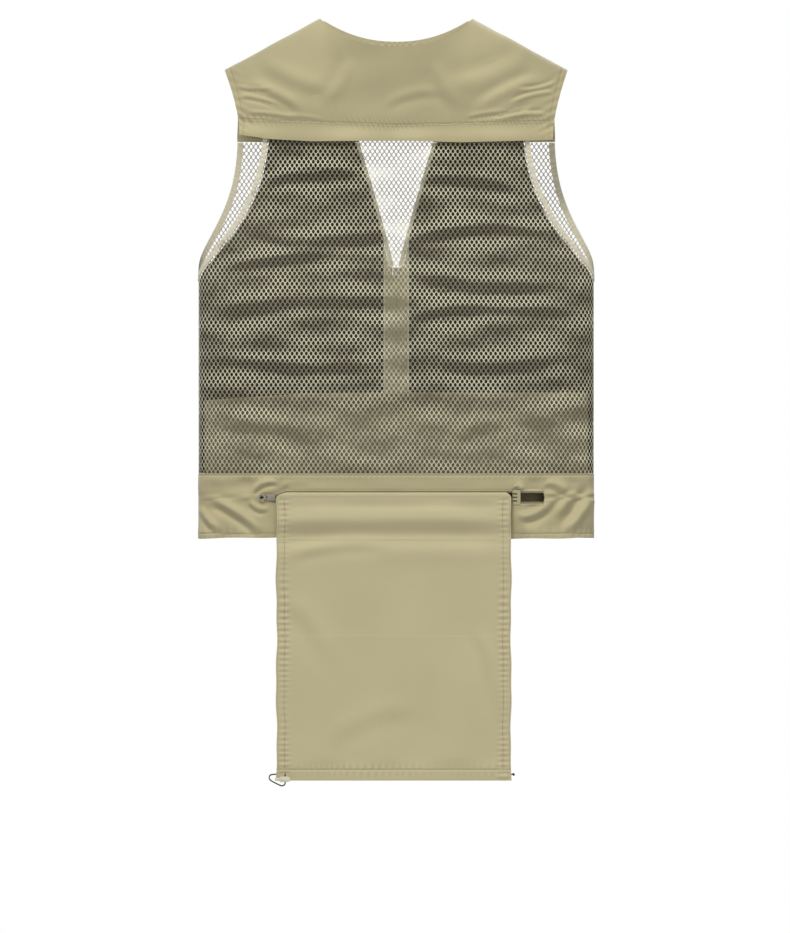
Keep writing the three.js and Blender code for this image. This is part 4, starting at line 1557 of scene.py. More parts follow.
@dataclass
class BackHem:
    """The nylon hem of the back, above and below the zipped slot."""

    cut: Cut
    slot_left: float = -185 * MM
    slot_right: float = 201 * MM
    neck_end: float = -163 * MM
    taper_end: float = -150 * MM
    slot_mid: float = -648.75 * MM

    creases: tuple[Crease, ...] = (
        Crease((-0.252, -0.65), (-0.18, -0.698), 6 * MM, 2.4 * MM, 0.05),
        Crease((-0.268, -0.66), (-0.237, -0.696), 5 * MM, 1.8 * MM, -0.05),
        Crease((0.268, -0.635), (0.226, -0.7), 7 * MM, 2.8 * MM, 0.05),
        Crease((0.247, -0.64), (0.215, -0.68), 6 * MM, 1.6 * MM, -0.08),
        Crease((-0.196, -0.643), (-0.158, -0.628), 4 * MM, 1.5 * MM, 0.16),
        Crease((-0.158, -0.634), (-0.112, -0.63), 5 * MM, 1.4 * MM, 0.1),
        Crease((-0.2, -0.652), (-0.17, -0.665), 4 * MM, 1.2 * MM, -0.16),
        Crease((0.16, -0.632), (0.172, -0.641), 4 * MM, 1.4 * MM, 0.12),
        Crease((0.162, -0.676), (0.214, -0.65), 6 * MM, 2.0 * MM, -0.12),
        Crease((0.2, -0.628), (0.236, -0.65), 6 * MM, 1.5 * MM, 0.15),
    )

    def slot_half(self, x: Array) -> Array:
        """Half the slot's height; none outside it.

        Args:
            x: places across.

        Returns:
            Half heights.
        """
        opened = np.clip((x - self.neck_end) / (self.taper_end - self.neck_end), 0, 1)
        half = mix(3.0 * MM, 8.15 * MM, opened)
        within = smooth((x - self.slot_left) / (2 * MM)) * smooth((self.slot_right - x) / (2 * MM))
        return half * within

    def surface(self, girth: Array, z: Array) -> Array:
        """The hem's middle.

        Args:
            girth: places round the body.
            z: heights.

        Returns:
            Points.
        """
        form = self.cut.form
        x = form.x_at(np.clip(girth, -form.side_girth, form.side_girth))
        calm = (
            smooth((self.cut.hem_seam - z) / (14 * MM))
            * smooth((form.side_girth - np.abs(girth)) / (16 * MM))
        )
        under_flap = smooth((-140 * MM - x) / (25 * MM)) + smooth((x - 145 * MM) / (20 * MM))
        near_slot = smooth((np.abs(z - self.slot_mid) - self.slot_half(x)) / (7 * MM))
        lift = (
            1.5 * creased(self.creases, x, z) + rumple(x, z, 55 * MM, 1.2 * MM, 31)
            + rumple(x, z, 21 * MM, 0.3 * MM, 32)
        )
        lift = lift * calm * np.clip(0.15 + under_flap, 0, 1) * np.clip(0.35 + near_slot, 0, 1)
        row = self.cut.hem_bottom + 7 * MM
        lift = lift + pucker(girth, z - row, 10 * MM, 0.4 * MM, 7 * MM, 33)
        lift = lift + pucker(girth, z - self.cut.hem_seam + 3 * MM, 7 * MM, 0.35 * MM, 4 * MM, 34)
        return form.point(Side.BACK, x, z, lift)

    def build(self, trims: Sequence[bpy.types.Object]) -> None:
        """Makes the cloth above and below the slot, and the stitching.

        Args:
            trims: narrow pieces sewn to it; not used.
        """
        side = self.cut.form.side_girth
        ends = [float(self.cut.form.girth_at(x)) for x in (self.slot_left, self.slot_right)]
        across = np.unique(
            np.concatenate(
                [graded(-side, side, 1.5 * MM, 2.2 * MM, 12 * MM)]
                + [e + np.linspace(-4, 4, 17) * MM for e in ends]
            )
        )

        def band(above: bool) -> Surface:
            """The cloth on one side of the slot.

            Args:
                above: whether it lies above the slot.

            Returns:
                Its surface.
            """

            def place(girth: Array, b: Array) -> Array:
                """The cloth's middle.

                Args:
                    girth: places round the body.
                    b: from 0 to 1 up.

                Returns:
                    Points.
                """
                half = self.slot_half(self.cut.form.x_at(girth))
                wavy = 0.8 * MM * np.sin(girth / (37 * MM)) + 0.5 * MM * np.sin(girth / (13 * MM))
                low = self.slot_mid + half if above else self.cut.hem_bottom + wavy + 1.0 * MM
                high = self.cut.hem_seam - 0.2 * MM if above else self.slot_mid - half
                return self.surface(girth, mix(low, high, b))

            return place

        sewn = self._stitching()
        for above, rows in ((True, 18), (False, 30)):
            word = "upper" if above else "lower"
            sheet = Cloth(
                f"back_hem_{word}", band(above), across, np.linspace(0, 1, rows), (0, -1, 0),
                NYLON, 1.1 * MM, 2.5 * MM, (above, not above)
            )
            piece = sheet.build()
            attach(piece, "vest_back")
            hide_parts("back_hem_panel")
            log.info("hem %s", piece.name)

    def _stitching(self) -> bpy.types.Object:
        """Rows along the bottom, the net seam and round the slot.

        Returns:
            The stitches.
        """
        rows = SmallShapes.empty()
        girth = np.linspace(
            -self.cut.form.side_girth + 2 * MM, self.cut.form.side_girth - 2 * MM, 700
        )
        for z in (self.cut.hem_bottom + 7 * MM, self.cut.hem_seam - 3 * MM):
            stitch_row(
                rows, *line_on(self.surface, girth, np.full_like(girth, z), (0, -1, 0), 0.6 * MM)
            )
        around = np.linspace(
            self.cut.form.girth_at(self.slot_left), self.cut.form.girth_at(self.slot_right), 420
        )
        half = self.slot_half(self.cut.form.x_at(around)) + 3 * MM
        for way in (-1, 1):
            stitch_row(
                rows,
                *line_on(self.surface, around, self.slot_mid + way * half, (0, -1, 0), 0.6 * MM)
            )
        sewn = rows.build("back_hem_stitching", THREAD)
        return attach(sewn, "vest_back")


@dataclass
class PocketBag:
    """The inner bag of the back pocket, seen through the net."""

    cut: Cut
    top_wave: tuple[tuple[float, float], ...] = (
        (-0.26, -0.517), (-0.12, -0.508), (0.0, -0.5065), (0.14, -0.507), (0.26, -0.5065)
    )

    def surface(self, girth: Array, b: Array) -> Array:
        """The bag's middle.

        Args:
            girth: places round the body.
            b: from 0 at its foot to 1 at its top.

        Returns:
            Points.
        """
        form = self.cut.form
        x = form.x_at(girth)
        xs, zs = zip(*self.top_wave)
        top = np.interp(x, xs, zs)
        z = mix(-0.7, top, b)
        half = form.side_girth * 24 / 26
        sink = (
            11 * MM * smooth((half - np.abs(girth)) / (30 * MM))
            * smooth((top - z) / (30 * MM)) * smooth((z + 0.7) / (30 * MM))
        )
        sag = rumple(x, z, 60 * MM, 1.4 * MM, 41) * sink / (11 * MM)
        return form.point(Side.BACK, x, z, -2.6 * MM - sink + sag)

    def build(self) -> None:
        """Makes the bag."""
        half = self.cut.form.side_girth * 24 / 26
        sheet = Cloth(
            "back_pocket_bag_cloth", self.surface, graded(-half, half, 3 * MM, 5 * MM, 36 * MM),
            np.linspace(0, 1, 50), (0, -1, 0), BAG_NYLON, 0.6 * MM
        )
        piece = sheet.build()
        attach(piece, "vest_back")
        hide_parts("back_pocket_bag")
        log.info("pocket bag %s", piece.name)


# ------------------------------------------------------------------ zips


TOOTH_FACES = np.array(
    [[0, 1, 2, 3], [7, 6, 5, 4], [0, 4, 5, 1], [1, 5, 6, 2], [2, 6, 7, 3], [3, 7, 4, 0]]
)


def teeth(
    into: SmallShapes, edge: Array, inward: Array, outward: Array, reach: float, pitch: float
) -> None:
    """Sets teeth along the edge of a zip tape.

    Args:
        into: collects the teeth.
        edge: points along the edge, close together.
        inward: direction at each point that the teeth point in.
        outward: direction at each point away from the body.
        reach: how long a tooth is.
        pitch: from one tooth to the next.
    """
    run = np.concatenate([[0], np.cumsum(np.linalg.norm(np.diff(edge, axis=0), axis=1))])
    places = np.arange(pitch / 2, run[-1], pitch)

    def at(values: Array) -> Array:
        """Values at the teeth's places."""
        return np.stack([np.interp(places, run, values[:, k]) for k in range(3)], axis=-1)

    base, point, up = at(edge), unit(at(inward)), unit(at(outward))
    along = unit(np.cross(up, point))
    corners = []
    for height in (-0.55 * MM, 0.55 * MM):
        for length, half in ((0.0, 0.5), (0.0, -0.5), (1.0, -0.3), (1.0, 0.3)):
            narrow = 1 - 0.25 * length
            corners.append(
                base + point * reach * length + along * half * pitch * 0.82 + up * height * narrow
            )
    into.add(np.stack(corners, axis=1), TOOTH_FACES)


@dataclass
class BackZip:
    """Tapes and teeth round the slot, with the slider and the striped tab."""

    cut: Cut
    hem: BackHem

    def build(self) -> list[bpy.types.Object]:
        """Makes both halves and dresses the fittings.

        Returns:
            The narrow pieces, which trim the hem.
        """
        trims = self._half(1, "upper") + self._half(-1, "lower")
        self._tab()
        for node in ("back_zip_slider", "back_zip_pull"):
            dress_fitting(node, PLATED, 0.35 * MM)
        log.info("back zip")
        return trims

    def _half(self, way: int, word: str) -> list[bpy.types.Object]:
        """One tape with its teeth.

        Args:
            way: 1 above the slot, -1 below it.
            word: upper or lower.

        Returns:
            The tape and the teeth.
        """
        form, hem = self.cut.form, self.hem
        x = np.linspace(hem.slot_left + 0.5 * MM, hem.slot_right - 0.5 * MM, 260)

        def edge(places: Array) -> Array:
            """Height of the tape's inner edge."""
            opened = np.clip((places - hem.neck_end) / (hem.taper_end - hem.neck_end), 0, 1)
            return hem.slot_mid + way * (mix(2.7 * MM, 7.85 * MM, opened))

        def tape(a: Array, b: Array) -> Array:
            """The tape's middle."""
            return form.point(Side.BACK, a, edge(a) + way * mix(-1.4 * MM, 7.6 * MM, b), -1.9 * MM)

        node = f"back_zip_{word}_half"
        sheet = Cloth(
            f"{node}_tape", tape, x, np.linspace(0, 1, 5), (0, -1, 0), TAPE, 0.7 * MM, 1 * MM
        )
        piece = sheet.build()
        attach(piece, "vest_back")
        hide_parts(node)
        row = SmallShapes.empty()
        spine = form.point(Side.BACK, x, edge(x) - way * 0.3 * MM, -0.6 * MM)
        inward = np.tile([0.0, 0.0, -way], (len(x), 1))
        outward = unit(
            form.point(Side.BACK, x, edge(x), 1 * MM) - form.point(Side.BACK, x, edge(x), 0.0)
        )
        teeth(row, spine, inward, outward, 1.6 * MM, 1.5 * MM)
        coil = row.build(f"{node}_teeth", COIL)
        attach(coil, "vest_back")
        return [piece, coil]

    def _tab(self) -> None:
        """The webbing tab with its dark bars, two thirds of the slot's height."""
        form = self.cut.form
        low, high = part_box("zip_end_tab")

        def band(a: Array, b: Array) -> Array:
            """The webbing's middle."""
            return form.point(Side.BACK, a, b, 1.9 * MM + 0.15 * MM * np.sin(a * 900))

        sheet = Cloth(
            "zip_end_tab_webbing", band, np.linspace(low.x + 0.2 * MM, high.x - 0.2 * MM, 15),
            np.linspace(low.z, high.z, 20), (0, -1, 0), NYLON, 0.9 * MM, 1 * MM
        )
        piece = sheet.build()
        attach(piece, "vest_back")
        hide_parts("zip_end_tab")
        bars = SmallShapes.empty()
        for z in (-644.0 * MM, -648.6 * MM, -653.6 * MM):
            for row in np.linspace(-0.65, 0.65, 7) * MM:
                x = np.linspace(low.x + 0.3 * MM, low.x + 7.3 * MM, 12)
                stitch_row(
                    bars, *line_on(band, x, np.full_like(x, z + row), (0, -1, 0), 0.5 * MM),
                    length=3.1 * MM, gap=0.1 * MM
                )
        sewn = bars.build("zip_end_tab_bars", STRIPE)
        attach(sewn, "vest_back")


def dress_fitting(node: str, finish: HardFinish, bevel: float) -> None:
    """Gives a fitting of the frame its finish and rounds its edges.

    Args:
        node: the fitting's name in the frame.
        finish: what it is made of.
        bevel: width of the rounding, or 0 for none.
    """
    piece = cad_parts[node]
    piece.data.materials.clear()
    piece.data.materials.append(finish.material())
    if bevel > 0:
        rounding = piece.modifiers.new("soft edges", "BEVEL")
        rounding.width = bevel
        rounding.segments = 2
        rounding.limit_method = "ANGLE"
        rounding.angle_limit = math.radians(40)
        rounding.harden_normals = False


# ------------------------------------------------------------------ hanging panel


@dataclass
class HangingPanel:
    """The long panel that comes out of the slot, with its channel, cord and cord lock."""

    left: float
    right: float
    top: float
    bottom: float
    face: float = -53 * MM
    hem_width: float = 11 * MM
    channel_top: float = -1018 * MM

    creases: tuple[Crease, ...] = (
        Crease((-0.24, -0.684), (0.24, -0.682), 15 * MM, 4.6 * MM, 0.01),
        Crease((-0.15, -0.725), (0.0, -0.712), 9 * MM, 0.8 * MM, 0.05),
        Crease((-0.15, -0.78), (-0.08, -0.88), 14 * MM, 0.7 * MM, 0.08),
        Crease((0.11, -0.82), (0.14, -0.96), 10 * MM, 0.7 * MM, 0.06),
        Crease((-0.1, -0.98), (0.04, -0.93), 14 * MM, 0.5 * MM, 0.1),
    )

    @classmethod
    def from_frame(cls) -> HangingPanel:
        """Takes the panel's edges from the frame.

        Returns:
            The panel.
        """
        low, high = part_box("flap_upper")
        foot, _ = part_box("flap_drawcord_channel")
        return cls(left=low.x, right=high.x, top=high.z, bottom=foot.z)

    def surface(self, a: Array, z: Array) -> Array:
        """The panel's middle below the slot.

        Args:
            a: from 0 at its left edge to 1 at its right.
            z: heights.

        Returns:
            Points.
        """
        waver = 0.7 * MM * np.sin(z / (23 * MM)) + 0.5 * MM * np.sin(z / (9 * MM) + 1)
        x = mix(self.left + 0.8 * MM + waver, self.right - 0.8 * MM - waver * 0.8, a)
        calm = (
            smooth((self.top - 8 * MM - z) / (20 * MM))
            * smooth((z - self.channel_top) / (20 * MM))
        )
        lift = (creased(self.creases, x, z) + rumple(x, z, 90 * MM, 0.55 * MM, 51)) * calm
        from_side = np.minimum(x - self.left, self.right - x)
        lift = lift + pucker(z, from_side - self.hem_width, 8 * MM, 0.45 * MM, 6 * MM, 52)
        lift = lift + pucker(x, z - self.channel_top - 0.8 * MM, 9 * MM, 0.5 * MM, 6 * MM, 53)
        return np.stack([x, self.face - lift, z], axis=-1)

    def thick(self, a: Array, z: Array) -> Array:
        """Thickness: two layers in the hems and a round channel at the foot.

        Args:
            a: from 0 at its left edge to 1 at its right.
            z: heights.

        Returns:
            Thickness at each place.
        """
        x = mix(self.left, self.right, a)
        from_side = np.minimum(x - self.left, self.right - x)
        hem = 0.6 * MM * smooth((self.hem_width + 1 * MM - from_side) / (1.5 * MM))
        middle = (self.channel_top + self.bottom) / 2
        half = (self.channel_top - self.bottom) / 2
        roll = (
            np.sqrt(np.maximum(1 - ((z - middle) / half) ** 2, 0))
            * np.where(z < self.channel_top, 1.0, 0.0)
        )
        return 0.8 * MM + hem + 3.4 * MM * roll

    def root(self, a: Array, s: Array) -> Array:
        """The sewn end, which runs out through the slot and rolls over.

        Args:
            a: from 0 at its left edge to 1 at its right.
            s: from 0 inside to 1 on the panel.

        Returns:
            Points.
        """
        turn = smooth((s - 0.45) / 0.4)
        y = mix(-38.5 * MM, self.face, smooth(s / 0.8))
        z = (
            mix(-644.6 * MM, -642.3 * MM, smooth(s / 0.5))
            - smooth((s - 0.5) / 0.5) * (650 - 642.3) * MM
        )
        left = mix(self.left + 15.5 * MM, self.left + 0.8 * MM, turn)
        right = mix(self.right - 8.5 * MM, self.right - 0.8 * MM, turn)
        return np.stack([mix(left, right, a), y, z + 0 * a], axis=-1)

    def build(self) -> None:
        """Makes the panel in the lengths it folds into, and dresses its fittings."""
        across = graded(0.0, 1.0, 0.006, 0.0085, 0.06)
        self._root()
        upper, middle = -705 * MM, -835 * MM
        parts = (
            (
                "upper", -650 * MM, upper, ("vest_back", "flap_upper"), (-645 * MM, -662 * MM),
                ("flap_upper",)
            ),
            (
                "middle", upper, middle, ("flap_upper", "flap_middle"), (-756 * MM, -784 * MM),
                ("flap_middle",)
            ),
            (
                "lower", middle, self.bottom, ("flap_middle", "flap_lower"),
                (-886 * MM, -914 * MM), ("flap_lower", "flap_drawcord_channel")
            ),
        )
        for word, high, low, bodies, bend, nodes in parts:
            up = np.linspace(low, high, int((high - low) / (2.2 * MM)) + 1)
            sheet = Cloth(
                f"panel_{word}", self.surface, across, up, (0, -1, 0), FLAP_NYLON, self.thick,
                2.5 * MM, (True, word != "lower"), 4.0
            )
            piece = sheet.build()
            sewn = self._stitching(word, low, high)
            for part in (piece, sewn):
                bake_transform(part)
            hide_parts(*nodes)
            log.info("hanging panel %s", piece.name)
        self._drawcord()
        dress_fitting("cord_lock_barrel", TOGGLE, 0.4 * MM)
        dress_fitting("cord_lock_plunger", TOGGLE, 0.3 * MM)
        dress_fitting("cord_lock_spring", SPRING, 0.0)

    def _root(self) -> None:
        """The length that passes through the slot."""
        sheet = Cloth(
            "panel_root", self.root, graded(0.0, 1.0, 0.006, 0.0085, 0.06), np.linspace(0, 1, 25),
            (0, -1, 1), FLAP_NYLON, 0.8 * MM, 2.5 * MM, (True, True)
        )
        piece = sheet.build()
        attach(piece, "vest_back")
        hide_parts("flap_anchor")
        log.info("hanging panel %s", piece.name)

    def _stitching(self, word: str, low: float, high: float) -> bpy.types.Object:
        """Double rows down both side hems, and along the channel on the lowest length.

        Args:
            word: upper, middle or lower.
            low: the length's foot.
            high: the length's top.

        Returns:
            The stitches.
        """
        rows = SmallShapes.empty()
        z = np.linspace(low + 1 * MM, high - 0.2 * MM, 240)
        width = self.right - self.left
        for from_side in (1.8 * MM, self.hem_width):
            share = from_side / width
            for a in (share, 1 - share):
                stitch_row(
                    rows, *line_on(self.surface, np.full_like(z, a), z, (0, -1, 0), 0.75 * MM)
                )
        if word == "lower":
            a = np.linspace(0.01, 0.99, 460)
            stitch_row(
                rows,
                *line_on(
                    self.surface, a, np.full_like(a, self.channel_top + 0.8 * MM), (0, -1, 0),
                    0.5 * MM
                )
            )
        return rows.build(f"panel_{word}_stitching", THREAD)

    def _drawcord(self) -> None:
        """The cord with its end loop, and its stop knot."""
        bore = -1023.3 * MM
        loop_x, loop_z = self.left - 4.7 * MM, bore - 4.2 * MM
        lock_x, lock_y, lock_z = -150 * MM, -60.5 * MM, -1029.5 * MM
        y = self.face
        route = [
            (
                self.right + 1.8 * MM, y, bore
            ), (0.1, y, bore), (0, y, bore), (-0.1, y, bore), (-0.156, y, bore),
            (loop_x + 0.6 * MM, y - 0.2 * MM, bore),
            (loop_x - 3 * MM, y - 1.0 * MM, loop_z + 2.9 * MM),
            (loop_x - 4.2 * MM, y - 2.0 * MM, loop_z),
            (loop_x - 3 * MM, y - 3.2 * MM, loop_z - 3.0 * MM),
            (loop_x, y - 4.6 * MM, loop_z - 5.0 * MM),
            (loop_x + 5 * MM, y - 6.6 * MM, loop_z - 7.6 * MM),
            (lock_x - 4.4 * MM, lock_y, lock_z - 8.9 * MM),
            (lock_x - 1.3 * MM, lock_y, lock_z - 7.7 * MM),
            (lock_x, lock_y, lock_z - 4.9 * MM),
            (lock_x, lock_y, lock_z),
            (lock_x, lock_y, lock_z + 7.4 * MM),
        ]
        piece = tube("drawcord_braid", np.array(route), 0.95 * MM, CORD)
        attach(piece, "flap_lower")
        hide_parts("drawcord")
        turns = np.linspace(0, 2 * math.pi, 40)
        centre = np.array([self.right + 2.5 * MM, y, bore])
        knot_line = centre + np.stack(
            [
                0.9 * np.sin(2 * turns), (1.0 + 0.35 * np.cos(3 * turns)) * np.cos(turns),
                (1.0 + 0.35 * np.cos(3 * turns)) * np.sin(turns)
            ], axis=-1
        ) * MM
        knot = tube("drawcord_knot", knot_line, 0.8 * MM, CORD)
        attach(knot, "flap_lower")
        log.info("drawcord %s", piece.name)


def tube(name: str, route: Array, radius: float, finish: ClothFinish) -> bpy.types.Object:
    """A round cord along a smooth line through points.

    Args:
        name: the piece's name.
        route: points that it passes.
        radius: of the cord.
        finish: what it is made of.

    Returns:
        The cord as a mesh.
    """
    padded = np.concatenate([2 * route[:1] - route[1:2], route, 2 * route[-1:] - route[-2:-1]])
    pieces = []
    for i in range(1, len(padded) - 2):
        p0, p1, p2, p3 = padded[i - 1 : i + 3]
        count = max(int(np.linalg.norm(p2 - p1) / (1.2 * MM)), 3)
        t = np.linspace(0, 1, count, endpoint=False)[:, None]
        pull = min(float(np.linalg.norm(p2 - p1)), 8 * MM)
        start, end = unit(p2 - p0) * pull, unit(p3 - p1) * pull
        leaving = (2 * t**3 - 3 * t**2 + 1) * p1 + (t**3 - 2 * t**2 + t) * start
        pieces.append(leaving + (3 * t**2 - 2 * t**3) * p2 + (t**3 - t**2) * end)
    line = np.concatenate(pieces + [route[-1:]])
    along = unit(np.gradient(line, axis=0))
    side = unit(np.cross(along, [0.13, 0.31, 0.94]))
    up = np.cross(side, along)
    turn = np.arange(10) * 2 * math.pi / 10
    ring = side[:, None] * np.cos(turn)[None, :, None] + up[:, None] * np.sin(turn)[None, :, None]
    points = line[:, None] + ring * radius
    count = len(line)
    number = np.arange(count * 10).reshape(count, 10)
    following = np.roll(number, -1, axis=1)
    quads = np.stack(
        [number[:-1], number[1:], following[1:], following[:-1]], axis=-1
    ).reshape(-1, 4)
    run = np.concatenate([[0], np.cumsum(np.linalg.norm(np.diff(line, axis=0), axis=1))])
    flat = np.stack([np.repeat(run, 10), np.tile(turn * radius, count)], axis=-1)
    faces = quads.tolist() + [number[0].tolist(), number[-1, ::-1].tolist()]
    return mesh_piece(
        name, points.reshape(-1, 3), faces, flat / flat.max(0), flat, None, finish.material()
    )


# ------------------------------------------------------------------ fronts


@dataclass
class Pocket:
    """A patch pocket and its flap on one front.

    Attributes:
        word: chest or lower.
        inner, outer: edges nearest to and furthest from the zip.
        mouth, bottom: heights.
        depth: how far it stands off the front.
        side, foot: how far from its side and foot it takes to swell.
        root, drop: where its flap is sewn, and how far it hangs.
    """

    cut: Cut
    hand: Hand
    word: str
    inner: float
    outer: float
    mouth: float
    bottom: float
    depth: float
    side: float
    foot: float
    root: float
    drop: float

    def _place(self, x: Array, z: Array, lift: Array) -> Array:
        """A point on this hand's front."""
        return self.cut.form.point(Side.FRONT, self.hand.value * x, z, lift)

    def pouch(self, a: Array, b: Array) -> Array:
        """The pouch's middle.

        Args:
            a: from 0 to 1 outwards.
            b: from 0 at its foot to 1 at its mouth.

        Returns:
            Points.
        """
        x, z = mix(
            self.inner + 0.4 * MM, self.outer - 0.4 * MM, a
        ), mix(self.bottom, self.mouth, b)
        from_side = np.minimum(a, 1 - a) * (self.outer - self.inner)
        swell = self.depth * smooth(from_side / self.side) * smooth((z - self.bottom) / self.foot)
        crumple = (
            rumple(x, z, 45 * MM, 0.7 * MM, 61 + len(self.word))
            * np.clip(swell / self.depth, 0, 1)
        )
        edge = np.minimum(from_side, z - self.bottom)
        sewn = pucker(x + z, edge - 3 * MM, 8 * MM, 0.2 * MM, 4 * MM, 62)
        return self._place(x, z, 2.1 * MM + swell + crumple + sewn)

    def lid(self, a: Array, b: Array) -> Array:
        """The flap's middle.

        Args:
            a: from 0 to 1 outwards.
            b: from 0 at its free edge to 1 at its root.

        Returns:
            Points.
        """
        x = mix(self.inner - 1.6 * MM, self.outer + 1.6 * MM, a)
        fall = self.drop * np.maximum(1 - b, 0) ** 1.2
        proud = (self.depth + 2.9 * MM) * smooth(fall / (16 * MM))
        from_edge = np.minimum(np.minimum(a, 1 - a) * (self.outer - self.inner), self.drop - fall)
        sewn = pucker(x - fall, from_edge - 5 * MM, 8 * MM, 0.2 * MM, 4 * MM, 64)
        crumple = (
            rumple(x, fall, 50 * MM, 0.5 * MM, 65 + len(self.word))
            * smooth(fall / (16 * MM))
        )
        return self._place(
            x, self.root - fall, 2.2 * MM + proud + np.clip(crumple, -0.1 * MM, 1 * MM) + sewn
        )

    def build(self) -> None:
        """Makes the pouch and the flap."""
        outward = (0, 1, 0)
        body, flap_body = self.hand.body, f"{self.word}_flap_{self.hand.word}"
        across = graded(0.0, 1.0, 0.012, 0.02, 0.18)
        pouch = Cloth(
            f"{self.word}_pouch_{self.hand.word}", self.pouch, across, across, outward, NYLON,
            0.9 * MM, 3 * MM
        )
        piece = pouch.build()
        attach(piece, body)
        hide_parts(f"{self.word}_pocket_{self.hand.word}")
        rows = SmallShapes.empty()
        s = np.linspace(0.01, 0.99, 300)
        width = self.outer - self.inner
        tall = self.mouth - self.bottom
        for share, places in ((3 * MM / width, "side"), (3 * MM / tall, "foot")):
            if places == "foot":
                stitch_row(
                    rows, *line_on(self.pouch, s, np.full_like(s, share), outward, 0.5 * MM)
                )
                stitch_row(
                    rows,
                    *line_on(self.pouch, s, np.full_like(s, 1 - 12 * MM / tall), outward, 0.5 * MM)
                )
            else:
                for a in (share, 1 - share):
                    stitch_row(
                        rows, *line_on(self.pouch, np.full_like(s, a), s, outward, 0.5 * MM)
                    )
        sewn = rows.build(f"{self.word}_pouch_{self.hand.word}_stitching", THREAD)
        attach(sewn, body)

        lid = Cloth(
            f"{self.word}_lid_{self.hand.word}", self.lid, across, np.linspace(0, 1, 40), outward,
            NYLON, 0.9 * MM, 3 * MM
        )
        flap = lid.build()
        rows = SmallShapes.empty()
        free = 1 - ((self.drop - 5 * MM) / self.drop) ** (1 / 1.2)
        stitch_row(rows, *line_on(self.lid, s, np.full_like(s, free), outward, 0.5 * MM))
        for a in (5 * MM / width, 1 - 5 * MM / width):
            stitch_row(rows, *line_on(self.lid, np.full_like(s, a), s, outward, 0.5 * MM))
        hemmed = rows.build(f"{self.word}_lid_{self.hand.word}_stitching", THREAD)
        for part in (flap, hemmed):
            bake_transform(part)
        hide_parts(f"{self.word}_pocket_flap_{self.hand.word}")
        log.info("%s pocket, %s", self.word, self.hand.word)


